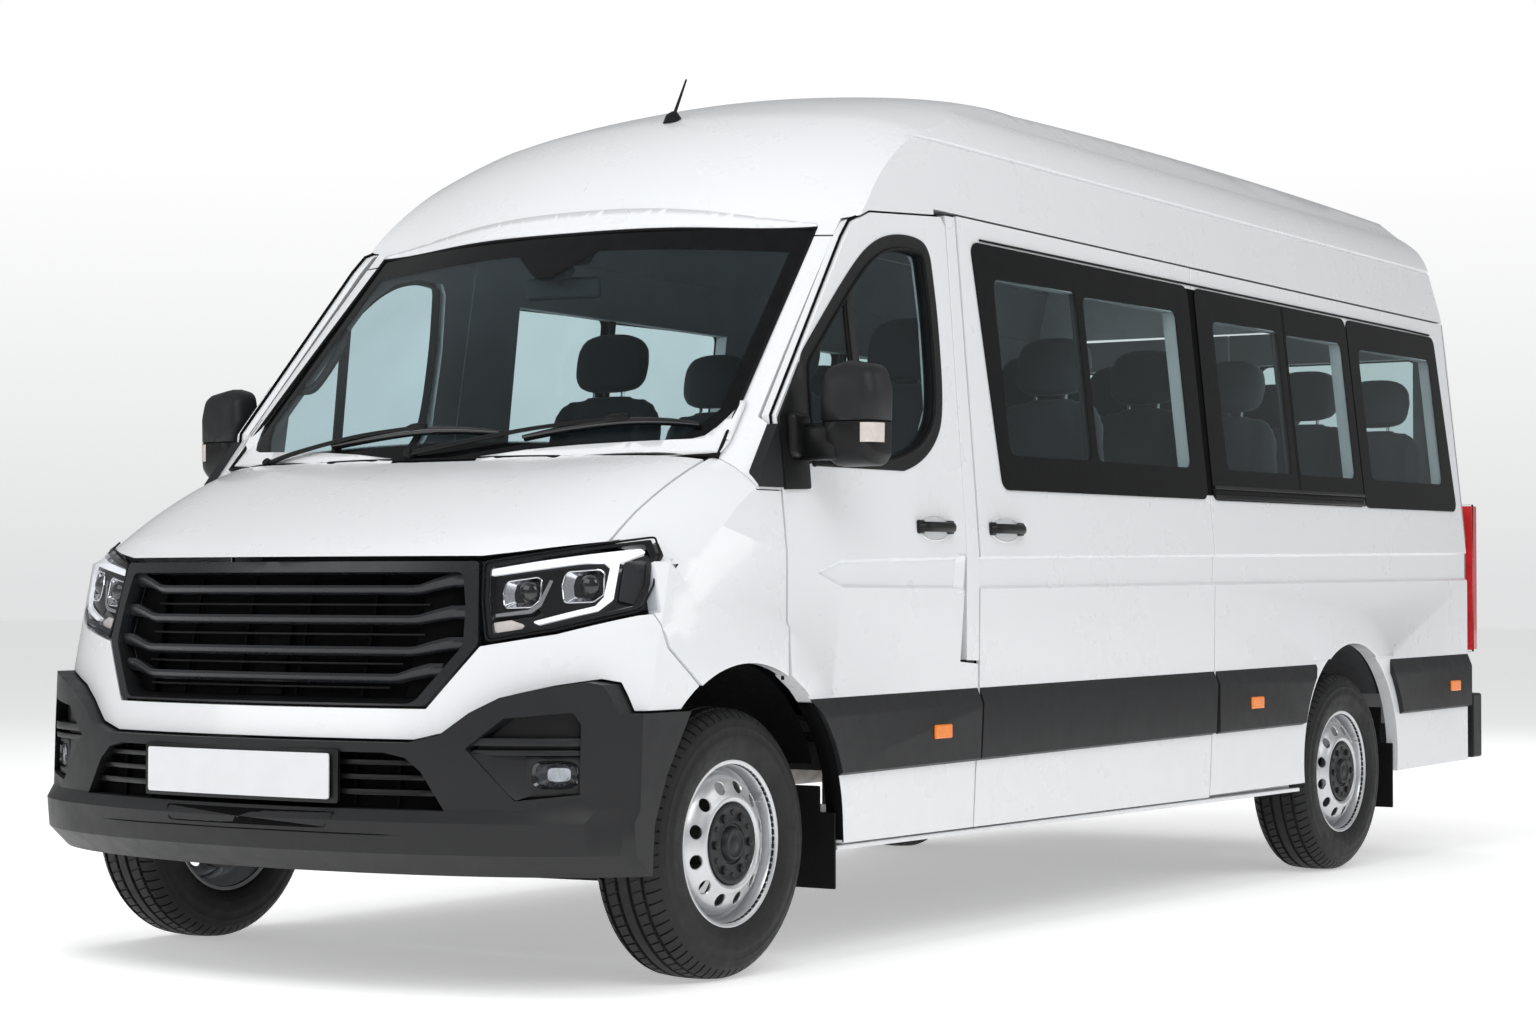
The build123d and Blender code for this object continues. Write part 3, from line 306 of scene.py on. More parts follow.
# ------------------------------------------------------------------ shape helpers
def put(name, verts, faces, mat, body, smooth=True, solid=None, bevel=None, out=None, angle=35):
    """mesh piece; solid: wall thickness inwards; bevel: (width, segments); out: direction its faces look to"""
    bm = bmesh.new()
    vs = [bm.verts.new(v) for v in verts]
    for f in faces:
        try:
            bm.faces.new([vs[i] for i in f])
        except ValueError:
            pass
    bmesh.ops.remove_doubles(bm, verts=bm.verts, dist=1e-6)
    return finish_bm(name, bm, mat, body, smooth, solid, bevel, out, angle)


def finish_bm(name, bm, mat, body, smooth=True, solid=None, bevel=None, out=None, angle=35):
    bmesh.ops.recalc_face_normals(bm, faces=bm.faces)
    if out is not None:
        total = sum((f.normal * f.calc_area() for f in bm.faces), Vector())
        if total.dot(Vector(out)) < 0:
            bmesh.ops.reverse_faces(bm, faces=bm.faces)
    me = bpy.data.meshes.new(name)
    bm.to_mesh(me)
    bm.free()
    ob = bpy.data.objects.new(name, me)
    bpy.context.scene.collection.objects.link(ob)
    me.materials.append(mat)
    if solid:
        md = ob.modifiers.new("wall", "SOLIDIFY")
        md.thickness = solid
        md.offset = -1
        md.use_even_offset = False
    if bevel:
        md = ob.modifiers.new("edge", "BEVEL")
        md.width = bevel[0]
        md.segments = bevel[1]
        md.limit_method = "ANGLE"
        md.angle_limit = math.radians(angle)
        md.harden_normals = True
    if smooth:
        me.polygons.foreach_set("use_smooth", [True] * len(me.polygons))
        if not bevel:
            me.set_sharp_from_angle(angle=math.radians(angle))
    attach(ob, body)
    return ob


def rounded(pts, r, n=5):
    """closed outline with its corners rounded"""
    out = []
    count = len(pts)
    for i, p in enumerate(pts):
        a, b = Vector(pts[i - 1]), Vector(pts[(i + 1) % count])
        c = Vector(p)
        rr = r[i] if isinstance(r, (list, tuple)) else r
        da, db = (a - c), (b - c)
        turn = da.angle(db) if da.length and db.length else math.pi
        if rr <= 0 or turn > math.radians(176):
            out.append(tuple(c))
            continue
        t = rr / math.tan(turn / 2)
        t = min(t, da.length * 0.49, db.length * 0.49)
        p0, p1 = c + da.normalized() * t, c + db.normalized() * t
        for k in range(n + 1):
            s = k / n
            out.append(tuple(p0 * (1 - s) ** 2 + c * 2 * s * (1 - s) + p1 * s * s))
    return out


def grown(pts, d):
    """outline moved outwards by d"""
    area = sum(a[0] * b[1] - b[0] * a[1] for a, b in zip(pts, pts[1:] + pts[:1]))
    sign = 1 if area > 0 else -1
    out = []
    n = len(pts)
    for i in range(n):
        p0, p1, p2 = Vector(pts[i - 1]), Vector(pts[i]), Vector(pts[(i + 1) % n])
        e0, e1 = (p1 - p0).normalized(), (p2 - p1).normalized()
        n0, n1 = Vector((e0.y, -e0.x)) * sign, Vector((e1.y, -e1.x)) * sign
        m = n0 + n1
        k = max(0.35, m.length_squared / 2)
        out.append(tuple(p1 + m * (d / k)))
    return out


def flat_grid(outer, holes=(), step=30):
    """filled outline with holes, cut by a grid, as a bmesh in two dimensions"""
    bm = bmesh.new()
    for loop in (outer, *holes):
        vs = [bm.verts.new((a, b, 0)) for a, b in loop]
        for i in range(len(vs)):
            bm.edges.new((vs[i - 1], vs[i]))
    bmesh.ops.triangle_fill(bm, use_beauty=True, edges=bm.edges[:], normal=(0, 0, 1))
    for axis in (0, 1):
        lo = min(p[axis] for p in outer)
        hi = max(p[axis] for p in outer)
        k = max(1, int((hi - lo) / step))
        for i in range(1, k):
            co, no = [0, 0, 0], [0, 0, 0]
            co[axis], no[axis] = lo + (hi - lo) * i / k, 1
            bmesh.ops.bisect_plane(bm, geom=bm.verts[:] + bm.edges[:] + bm.faces[:], plane_co=co, plane_no=no)
    return bm


def patch(name, outer, place, mat, body, holes=(), step=30, thick=0.003, bevel=None, out=(0, -1, 0)):
    """sheet over a filled outline; place(a, b) gives its point in space"""
    bm = flat_grid(outer, holes, step)
    for v in bm.verts:
        v.co = place(v.co.x, v.co.y)
    return finish_bm(name, bm, mat, body, True, thick, bevel, out)


def tube(name, path, r, mat, body, n=10, closed=False, flat=1.0, up=(0, 0, 1)):
    """round bar along points; r may be a list; flat squeezes it along up"""
    verts, faces = [], []
    m = len(path)
    up = Vector(up)
    for i, p in enumerate(path):
        a = path[i - 1] if (i or closed) else path[0]
        b = path[(i + 1) % m] if (i < m - 1 or closed) else path[-1]
        t = (b - a).normalized()
        s = t.cross(up)
        if s.length < 1e-4:
            s = t.cross(Vector((1, 0, 0)))
        s.normalize()
        u = s.cross(t).normalized()
        rr = r[i] if isinstance(r, (list, tuple)) else r
        for k in range(n):
            w = 2 * math.pi * k / n
            verts.append(p + s * math.cos(w) * rr + u * math.sin(w) * rr * flat)
    rows = m if closed else m - 1
    for i in range(rows):
        j = (i + 1) % m
        for k in range(n):
            faces.append((i * n + k, i * n + (k + 1) % n, j * n + (k + 1) % n, j * n + k))
    if not closed:
        faces.append(tuple(range(n))[::-1])
        faces.append(tuple((m - 1) * n + k for k in range(n)))
    return put(name, verts, faces, mat, body, angle=50)


def soft_box(name, lo, hi, mat, body, bevel=0.006, segments=3, turn=None, taper=None):
    """box with round edges; taper(point 0..1 each way) -> point 0..1 reshapes it"""
    bm = bmesh.new()
    bmesh.ops.create_cube(bm, size=1)
    for v in bm.verts:
        q = Vector((v.co.x + 0.5, v.co.y + 0.5, v.co.z + 0.5))
        if taper:
            q = Vector(taper(q))
        v.co = Vector((lo[0] + (hi[0] - lo[0]) * q[0], lo[1] + (hi[1] - lo[1]) * q[1], lo[2] + (hi[2] - lo[2]) * q[2]))
    if turn is not None:
        mid = (Vector(lo) + Vector(hi)) / 2
        for v in bm.verts:
            v.co = mid + turn @ (v.co - mid)
    return finish_bm(name, bm, mat, body, True, None, (bevel, segments), None, 30)


def lathe(profile, n, closed=True):
    """(out, radius) profile turned about the X axis -> verts, faces"""
    verts, faces = [], []
    m = len(profile)
    for k in range(n):
        w = 2 * math.pi * k / n
        for a, r in profile:
            verts.append((a, r * math.cos(w), r * math.sin(w)))
    for k in range(n):
        j = (k + 1) % n
        for i in range(m if closed else m - 1):
            i2 = (i + 1) % m
            faces.append((k * m + i, k * m + i2, j * m + i2, j * m + i))
    return verts, faces


def smooth_profile(pts, per=4):
    """Catmull-Rom through the points"""
    out = []
    n = len(pts)
    for i in range(n - 1):
        p0, p1, p2, p3 = [Vector(pts[max(0, min(n - 1, j))]) for j in (i - 1, i, i + 1, i + 2)]
        for k in range(per):
            t = k / per
            out.append(tuple(0.5 * ((2 * p1) + (p2 - p0) * t + (2 * p0 - 5 * p1 + 4 * p2 - p3) * t * t
                                    + (3 * p1 - p0 - 3 * p2 + p3) * t ** 3)))
    out.append(tuple(pts[-1]))
    return out


def join(name, objs, body):
    """one piece out of several meshes, their modifiers applied"""
    dg = bpy.context.evaluated_depsgraph_get()
    bm = bmesh.new()
    mats = []
    for o in objs:
        e = o.evaluated_get(dg)
        me = e.to_mesh()
        base = []
        for mt in o.data.materials:
            if mt not in mats:
                mats.append(mt)
            base.append(mats.index(mt))
        me.transform(o.matrix_world)
        first = len(bm.faces)
        bm.from_mesh(me)
        bm.faces.ensure_lookup_table()
        for f in bm.faces[first:]:
            f.material_index = base[f.material_index] if base else 0
        e.to_mesh_clear()
    me = bpy.data.meshes.new(name)
    bm.to_mesh(me)
    bm.free()
    for mt in mats:
        me.materials.append(mt)
    ob = bpy.data.objects.new(name, me)
    bpy.context.scene.collection.objects.link(ob)
    for o in objs:
        bpy.data.objects.remove(o)
    me.polygons.foreach_set("use_smooth", [True] * len(me.polygons))
    me.set_sharp_from_angle(angle=math.radians(38))
    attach(ob, body)
    return ob


# ------------------------------------------------------------------ body surfaces
ST_X = [-1030, -930, -760, -400, 0, 400, 760, 930, 1030]
ST_N = [400, 262, 146, 36, 0, 36, 146, 262, 400]


def cubic_spline(xs, ys):
    """natural cubic through the stations"""
    n = len(xs)
    h = [xs[i + 1] - xs[i] for i in range(n - 1)]
    a = [0.0] * n
    for i in range(1, n - 1):
        a[i] = 3 / h[i] * (ys[i + 1] - ys[i]) - 3 / h[i - 1] * (ys[i] - ys[i - 1])
    low, mu, z, c = [1.0] * n, [0.0] * n, [0.0] * n, [0.0] * n
    for i in range(1, n - 1):
        low[i] = 2 * (xs[i + 1] - xs[i - 1]) - h[i - 1] * mu[i - 1]
        mu[i] = h[i] / low[i]
        z[i] = (a[i] - h[i - 1] * z[i - 1]) / low[i]
    for i in range(n - 2, -1, -1):
        c[i] = z[i] - mu[i] * c[i + 1]

    def at(x):
        x = max(xs[0], min(xs[-1], x))
        i = max(j for j in range(n - 1) if xs[j] <= x)
        d = x - xs[i]
        b = (ys[i + 1] - ys[i]) / h[i] - h[i] * (c[i + 1] + 2 * c[i]) / 3
        return ys[i] + b * d + c[i] * d * d + (c[i + 1] - c[i]) / (3 * h[i]) * d ** 3
    return at


nose_set = cubic_spline(ST_X, ST_N)


def lerp_table(table, q):
    for (a0, b0), (a1, b1) in zip(table, table[1:]):
        if q <= a1:
            return b0 + (b1 - b0) * (q - a0) / (a1 - a0)
    return table[-1][1]


def nose_v(x, z):
    """body nose: behind the front axle"""
    return lerp_table([(0, -760), (620, -760), (1066, -655), (1112, -585), (1250, -300)], z) + nose_set(x)


def bumper_v(x, z):
    return lerp_table([(0, -745), (296, -745), (352, -812), (430, -820), (462, -796), (620, -792), (800, -784)],
                      z) + nose_set(x)


def on_nose(depth=0.0):
    return lambda x, z: P(x, nose_v(x, z) + depth, z)


def on_bumper(depth=0.0):
    return lambda x, z: P(x, bumper_v(x, z) + depth, z)


def tree_of(*names):
    """ray target made of CAD nodes"""
    verts, faces = [], []
    for n in names:
        me = NODES[n].data
        base = len(verts)
        verts += [v.co.copy() for v in me.vertices]
        me.calc_loop_triangles()
        faces += [tuple(base + i for i in t.vertices) for t in me.loop_triangles]
    return BVHTree.FromPolygons(verts, faces)


def cast(tree, origin, direction, fallback=None):
    hit = tree.ray_cast(Vector(origin), Vector(direction))
    if hit[0] is not None:
        return hit[0]
    if fallback is not None:
        return fallback
    near = tree.find_nearest(Vector(origin) + Vector(direction) * 1.0)
    return near[0]


SIDE = [(200, 1000), (1090, 1000), (1285, 980), (2085, 890), (2300, 838)]


def side_x(z):
    return lerp_table(SIDE, z)


def on_side(side, lift=0.0):
    """place(v, z) on the plain body side"""
    return lambda v, z: P(side * (side_x(z) + lift), v, z)


def glass_top(v):
    return 2010 - (v - 1362) * 0.0172


SIDES = ((1, "left"), (-1, "right"))

# ------------------------------------------------------------------ CAD nodes: finishes (their small round edges follow further down)
look = {
    "roof": paint, "windscreen_frame": paint, "bonnet": paint, "front_wings": paint, "nose_panel": paint,
    "left_side_panel": paint, "right_side_panel": paint, "sliding_door": paint, "sills": paint,
    "left_cab_door": paint, "right_cab_door": paint, "left_rear_door": paint, "right_rear_door": paint,
    "rear_frame": paint, "front_bumper": trim, "rear_bumper": trim, "bumper_inserts": satin_black,
    "side_cladding": trim, "left_door_cladding": trim, "right_door_cladding": trim, "left_mirror": trim,
    "right_mirror": trim, "tail_lights": red, "floor_pan": floor_mat, "chassis": steel_dark,
    "fuel_tank": steel_dark, "exhaust": exhaust_mat, "engine": steel_dark, "wheel_liners": black_and_recess_shade,
    "mud_flaps": rubber, "front_axle": steel_dark, "left_knuckle": iron, "right_knuckle": iron,
    "rear_axle": steel_dark, "dashboard": cabin_grey, "steering_wheel": cabin_grey,
}
for name, mat in look.items():
    ob = NODES[name]
    if ob.data.materials:
        for i in range(len(ob.data.materials)):
            ob.data.materials[i] = mat
    else:
        ob.data.materials.append(mat)

# ------------------------------------------------------------------ glass
CLEAR_PANES = [(1425, 1930), (1970, 2602), (2865, 3372), (3432, 3902), (4048, 4712)]


def side_frit(nt, coord):
    sep = nt.nodes.new("ShaderNodeSeparateXYZ")
    nt.links.new(coord, sep.inputs[0])
    u, w = sep.outputs["Y"], sep.outputs["Z"]
    boxes = []
    for v0, v1 in CLEAR_PANES:
        vm = (v0 + v1) / 2
        top = glass_top(vm) - 96
        boxes.append((FA + v0 / 1000, FA + v1 / 1000, 1.387, top / 1000, 0.028))
    return rounded_box_mask(nt, u, w, boxes)


def rear_frit(nt, coord):
    sep = nt.nodes.new("ShaderNodeSeparateXYZ")
    nt.links.new(coord, sep.inputs[0])
    u, w = sep.outputs["X"], sep.outputs["Z"]
    return rounded_box_mask(nt, u, w, [(s * 0.451 - 0.335, s * 0.451 + 0.335, 1.345, 1.875, 0.04) for s in (1, -1)])


def screen_frit(nt, coord):
    """printed border of the windscreen, wider round the sensor housing and along the foot"""
    sep = nt.nodes.new("ShaderNodeSeparateXYZ")
    nt.links.new(coord, sep.inputs[0])
    x, z = math_node(nt, "ABSOLUTE", sep.outputs["X"]), sep.outputs["Z"]
    # half width of the clear field narrows towards the top
    half = spread(nt, z, 0.815, 0.735, 1.35, 2.04)
    side = spread(nt, math_node(nt, "SUBTRACT", x, half), 0.0, 1.0, -0.004, 0.004)
    crown = math_node(nt, "MULTIPLY", math_node(nt, "MULTIPLY", x, x), 0.062)
    top = spread(nt, math_node(nt, "ADD", z, crown), 0.0, 1.0, 1.958, 1.964)
    foot_line = math_node(nt, "ADD", z, math_node(nt, "MULTIPLY", math_node(nt, "MULTIPLY", x, x), 0.055))
    # round lower corners
    past = math_node(nt, "MAXIMUM", math_node(nt, "SUBTRACT", x, 0.665), 0.0)
    foot_line = math_node(nt, "SUBTRACT", foot_line, math_node(nt, "MULTIPLY", math_node(nt, "MULTIPLY", past, past),
                                                               6.2))
    foot = spread(nt, foot_line, 1.0, 0.0, 1.392, 1.400)
    pod_half = spread(nt, z, 0.03, 0.17, 1.885, 1.975)
    pod_x = spread(nt, math_node(nt, "SUBTRACT", x, pod_half), 1.0, 0.0, -0.004, 0.004)
    pod_z = spread(nt, z, 0.0, 1.0, 1.880, 1.886)
    pod = math_node(nt, "MULTIPLY", pod_x, pod_z)
    m = math_node(nt, "MAXIMUM", side, top)
    m = math_node(nt, "MAXIMUM", m, foot)
    return math_node(nt, "MAXIMUM", m, pod)


side_glass = pane("tinted_side_glass", (0.87, 0.93, 0.935), 0.018, frit=side_frit)
rear_glass = pane("tinted_rear_glass", (0.82, 0.89, 0.895), 0.018, frit=rear_frit)
screen_glass = pane("windscreen_glass", (0.86, 0.93, 0.945), 0.015, frit=screen_frit)
door_glass = pane("door_glass", (0.85, 0.915, 0.925), 0.015)
lamp_glass = pane("lamp_lens_clear", (0.95, 0.96, 0.975), 0.02)
for name, mat in {"side_windows": side_glass, "left_rear_door_glass": rear_glass, "right_rear_door_glass": rear_glass,
                  "windscreen": screen_glass, "left_cab_door_glass": door_glass,
                  "right_cab_door_glass": door_glass, "headlights": lamp_glass}.items():
    ob = NODES[name]
    ob.data.materials.clear()
    ob.data.materials.append(mat)

# ------------------------------------------------------------------ tyres
PITCH = 70
TREAD = [-97, -92, -84, -73, -66, -64, -56, -54, -40, -25, -23, -15, -13, 0, 13, 15, 23, 25, 40, 54, 56, 64, 66, 73,
         84, 92, 97]
SIDEWALL = [(84, 201.3), (89, 202.7), (92.5, 208.6), (93.5, 213.4), (96.5, 216.5), (100, 223), (103, 232),
            (103.8, 234), (103.9, 236), (105, 238), (106.6, 248), (107.6, 260), (107.9, 262), (108, 270),
            (107.9, 276), (107.1, 278), (106.4, 286), (104.9, 296), (105.1, 297), (104.6, 300), (103.8, 301),
            (101.8, 310), (99.6, 316.5)]


def tread_r(a, slot):
    """tread radius at a place across; slot: 0 block, 1 cross groove"""
    q = abs(a)
    r = 347.9 - 3.4 * (q / 66) ** 2 if q < 66 else 344.5 - 0.20 * (q - 66) - 0.0195 * (q - 66) ** 2
    if 56 <= q <= 64 or 15 <= q <= 23:
        return r - 8
    if slot and q > 64:
        return r - (6.0 if q < 94 else 2.5)
    if slot and 25 <= q <= 54:
        return r - 4.5
    return r


def tyre_mesh():
    rows = []
    steps = (0.0, 0.03, 0.16, 0.19)
    side_out = [(a, r) for a, r in SIDEWALL]
    for k in range(PITCH):
        for j, f in enumerate(steps):
            slot = j in (1, 2)
            ring = []
            base = (k + f) / PITCH
            for a, r in [(-a, r) for a, r in side_out]:
                ring.append((a, r, base))
            for a in TREAD:
                q = abs(a)
                shear = (0.25 * (q - 64) / 40 if q > 64 else 0.35 * math.copysign((q - 25) / 30, a)) / PITCH \
                    if q > 24 else 0
                ring.append((a, tread_r(a, slot and not (q in (97,))), base + shear))
            for a, r in side_out[::-1]:
                ring.append((a, r, base))
            rows.append(ring)
    m = len(rows[0])
    verts, faces = [], []
    for ring in rows:
        for a, r, t in ring:
            w = 2 * math.pi * t
            verts.append((a / 1000, r / 1000 * math.sin(w), r / 1000 * math.cos(w)))
    n = len(rows)
    for i in range(n):
        j = (i + 1) % n
        for k in range(m - 1):
            faces.append((i * m + k, i * m + k + 1, j * m + k + 1, j * m + k))
        faces.append((i * m + m - 1, i * m, j * m, j * m + m - 1))
    return verts, faces


WHEELS = [("left_front", 1, 0.0), ("right_front", -1, 0.0), ("left_rear", 1, WB), ("right_rear", -1, WB)]
tv, tf = tyre_mesh()
RIM = [(84, 201.4), (91, 203.2), (94, 208.6), (93.6, 213.6), (91.5, 215.2), (89, 214), (88, 207.6), (80, 200),
       (74, 197.5), (44, 196.5), (39, 192), (34, 185.8), (20, 184.8), (-26, 184.8), (-36, 192), (-72, 195),
       (-84, 199.8), (-92, 214.9), (-94, 212.4), (-91, 203.7), (-82, 200.6), (-70, 198.9), (-38, 196.9),
       (-26, 188.7), (28, 188.7), (36, 194.5), (40, 199.3), (72, 200.8)]
# web with its holes, rolled ring crown, recess that takes the hub cover
DISC = [(33, 185.6), (44, 184.4), (56, 180), (68, 172.5), (78, 162), (85, 150.5), (89.5, 139), (93.5, 129.5),
        (97, 124.5), (98.6, 119), (98.4, 113), (96, 108), (91.5, 104.6), (84, 102.5), (74, 100), (66, 96),
        (58, 88), (56, 78), (51, 78), (52.5, 90), (62, 101), (76, 105.5), (85, 107.5), (90.5, 110), (93, 114),
        (93, 119), (91, 123.5), (87.5, 129), (84, 138), (79.5, 148.5), (73, 158.5), (64, 168), (53, 175),
        (42, 179), (33, 181)]


def wheel_master():
    """rim and holed disc in one mesh about the origin, axle along X"""
    v1, f1 = lathe([(a / 1000, r / 1000) for a, r in RIM], 112)
    v2, f2 = lathe([(a / 1000, r / 1000) for a, r in DISC], 128)
    bm = bmesh.new()
    vs = [bm.verts.new(v) for v in v2]
    for f in f2:
        bm.faces.new([vs[i] for i in f])
    bmesh.ops.recalc_face_normals(bm, faces=bm.faces)
    disc = bpy.data.meshes.new("disc_master")
    bm.to_mesh(disc)
    bm.free()
    disc_ob = bpy.data.objects.new("disc_master", disc)
    bpy.context.scene.collection.objects.link(disc_ob)
    # drills, slightly flared, square to the sloping web
    bm = bmesh.new()
    for k in range(12):
        w = 2 * math.pi * (k + 0.5) / 12
        lean = Matrix.Rotation(math.radians(26), 4, "Z")
        turn = Matrix.Rotation(w, 4, "X")
        place = turn @ Matrix.Translation((0.0835, 0.1465, 0)) @ lean @ Matrix.Rotation(math.pi / 2, 4, "Y")
        bmesh.ops.create_cone(bm, cap_ends=True, segments=28, radius1=0.0178, radius2=0.0178, depth=0.05,
                              matrix=place)
        bmesh.ops.create_cone(bm, cap_ends=True, segments=28, radius1=0.0178, radius2=0.0222, depth=0.005,
                              matrix=turn @ Matrix.Translation((0.0835, 0.1465, 0)) @ lean
                              @ Matrix.Translation((0.0022, 0, 0)) @ Matrix.Rotation(math.pi / 2, 4, "Y"))
    drill = bpy.data.meshes.new("drill_master")
    bmesh.ops.recalc_face_normals(bm, faces=bm.faces)
    bm.to_mesh(drill)
    bm.free()
    drill_ob = bpy.data.objects.new("drill_master", drill)
    bpy.context.scene.collection.objects.link(drill_ob)
    md = disc_ob.modifiers.new("holes", "BOOLEAN")
    md.operation = "DIFFERENCE"
    md.solver = "EXACT"
    md.use_self = True
    md.object = drill_ob
    dg = bpy.context.evaluated_depsgraph_get()
    e = disc_ob.evaluated_get(dg)
    bm = bmesh.new()
    bm.from_mesh(e.to_mesh())
    e.to_mesh_clear()
    vs = [bm.verts.new(v) for v in v1]
    fresh = [bm.faces.new([vs[i] for i in f]) for f in f1]
    bmesh.ops.recalc_face_normals(bm, faces=fresh)
    # valve
    w = math.radians(33)
    bmesh.ops.create_cone(bm, cap_ends=True, segments=12, radius1=0.0045, radius2=0.0035, depth=0.034,
                          matrix=Matrix.Rotation(w, 4, "X") @ Matrix.Translation((0.074, 0.1815, 0))
                          @ Matrix.Rotation(math.radians(78), 4, "Y"))
    for o in (disc_ob, drill_ob):
        bpy.data.objects.remove(o)
    me = bpy.data.meshes.new("wheel_master")
    bm.to_mesh(me)
    bm.free()
    return me


CAP = [(80, 101.6), (94, 103.6), (97.2, 102.8), (98.4, 99), (98.6, 93), (97.6, 90), (97.4, 60), (98.2, 57),
       (97.8, 53), (94, 50), (93.6, 46), (100, 42.5), (105.2, 40.6), (107, 37.5), (106.8, 34), (104.4, 32),
       (103.4, 30), (103.6, 16), (104.6, 14), (104.8, 0.01)]


def cap_master():
    """hub cover with wheel nuts, studs and centre ring"""
    v, f = lathe([(a / 1000, r / 1000) for a, r in CAP], 72, closed=False)
    bm = bmesh.new()
    vs = [bm.verts.new(q) for q in v]
    for q in f:
        bm.faces.new([vs[i] for i in q])
    for k in range(6):
        w = 2 * math.pi * k / 6
        at = Matrix.Rotation(w, 4, "X") @ Matrix.Translation((0.0985, 0.075, 0)) @ Matrix.Rotation(math.pi / 2, 4, "Y")
        bmesh.ops.create_cone(bm, cap_ends=True, segments=6, radius1=0.0125, radius2=0.0112, depth=0.012, matrix=at)
        bmesh.ops.create_uvsphere(bm, u_segments=14, v_segments=8, radius=0.0078,
                                  matrix=at @ Matrix.Translation((0, 0, 0.0006)))
        w = 2 * math.pi * (k + 0.5) / 6
        at = Matrix.Rotation(w, 4, "X") @ Matrix.Translation((0.0985, 0.080, 0)) @ Matrix.Rotation(math.pi / 2, 4, "Y")
        bmesh.ops.create_cone(bm, cap_ends=True, segments=16, radius1=0.0085, radius2=0.0062, depth=0.005, matrix=at)
    bmesh.ops.remove_doubles(bm, verts=bm.verts, dist=1e-6)
    bmesh.ops.recalc_face_normals(bm, faces=bm.faces)
    me = bpy.data.meshes.new("cap_master")
    bm.to_mesh(me)
    bm.free()
    return me


def placed(name, mesh, mat, body, matrix, sharp=32):
    me = mesh.copy()
    me.name = name
    me.transform(matrix)
    me.materials.clear()
    me.materials.append(mat)
    me.polygons.foreach_set("use_smooth", [True] * len(me.polygons))
    me.set_sharp_from_angle(angle=math.radians(sharp))
    ob = bpy.data.objects.new(name, me)
    bpy.context.scene.collection.objects.link(ob)
    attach(ob, body)
    return ob


bm = bmesh.new()
vs = [bm.verts.new(v) for v in tv]
for f in tf:
    bm.faces.new([vs[i] for i in f])
bmesh.ops.recalc_face_normals(bm, faces=bm.faces)
tyre_me = bpy.data.meshes.new("tyre_master")
bm.to_mesh(tyre_me)
bm.free()
wheel_me = wheel_master()
cap_me = cap_master()
for name, side, y in WHEELS:
    spot = Matrix.Translation((side * WX, FA + y, R_TYRE))
    if side < 0:
        spot = spot @ Matrix.Rotation(math.pi, 4, "Z")
    body = name + "_wheel"
    t = placed(name + "_tread_tyre", tyre_me, tyre_mat, body, spot, 30)
    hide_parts(name + "_tyre")
    w = placed(name + "_steel_wheel", wheel_me, silver, body, spot, 40)
    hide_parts(name + "_wheel")
    placed(name + "_hub_cap", cap_me, cap_black, body, spot, 40)

# ------------------------------------------------------------------ front: grille
KINK = [(-1, 0), (0.775, 0), (0.86, 0.6), (0.93, 1), (2, 1)]


def grille_bar(name, z_mid, z_end, half, deep, h_mid, h_end):
    """blade across the grille, kinked up and thicker at both ends"""
    verts, faces = [], []
    n = 56
    for i in range(n + 1):
        x = -half + 2 * half * i / n
        t = lerp_table(KINK, abs(x) / half)
        z = z_mid + (z_end - z_mid) * t
        h = h_mid + (h_end - h_mid) * t
        v = nose_v(x, z) + deep
        for dv, dz in ((0, -0.06), (-3, 0.22), (2, 0.5), (14, 0.5), (30, 0.32), (32, -0.2), (12, -0.5), (3, -0.34)):
            verts.append(P(x, v + dv + 4, z + h * dz))
    m = 8
    for i in range(n):
        for k in range(m):
            faces.append((i * m + k, i * m + (k + 1) % m, (i + 1) * m + (k + 1) % m, (i + 1) * m + k))
    faces.append(tuple(range(m))[::-1])
    faces.append(tuple(n * m + k for k in range(m)))
    return put(name, verts, faces, bar_black, "root", angle=60)


def mirror_pts(pts):
    return pts + [(-x, z) for x, z in pts[::-1] if abs(x) > 1e-6]


G_OUT = rounded(mirror_pts([(0, 1067), (606, 1067), (620, 965), (635, 862), (523, 710), (0, 710)]),
                [0, 14, 30, 34, 30, 0, 30, 34, 30, 14], 6)
G_IN = rounded(mirror_pts([(0, 1028), (560, 1028), (578, 950), (585, 862), (484, 727), (0, 727)]),
               [0, 10, 20, 34, 34, 0, 34, 34, 20, 10], 6)
G_MID = grown(G_IN, 12)
surround = patch("grille_surround", G_OUT, on_nose(-3), bar_black, "root", holes=[G_MID], step=60, thick=0.03,
                 bevel=(0.004, 3))


def ring_wall(name, outline_a, place_a, outline_b, place_b, mat, body, solid=0.003, out=None):
    """wall between two outlines of the same number of points"""
    n = len(outline_a)
    verts = [place_a(*p) for p in outline_a] + [place_b(*p) for p in outline_b]
    faces = [(i, (i + 1) % n, n + (i + 1) % n, n + i) for i in range(n)]
    return put(name, verts, faces, mat, body, solid=solid, angle=50, out=out)


inner_wall = ring_wall("grille_inner_wall", G_MID, on_nose(0), G_IN, on_nose(44), satin_black, "root", solid=None)
bars = []
for i, (zm, ze, half) in enumerate([(995, 1019, 572), (920, 940, 586), (842, 862, 590), (775, 797, 545)]):
    bars.append(grille_bar(f"bar_{i}", zm, ze, half, 10, 24, 34))
for z, half in ((958, 468), (884, 470), (811, 466), (752, 440)):
    bars.append(tube(f"slat_{z}", [P(x, nose_v(x, z) + 40, z) for x in range(-half, half + 1, 52)], 0.0028,
                     satin_black, "root", 8))
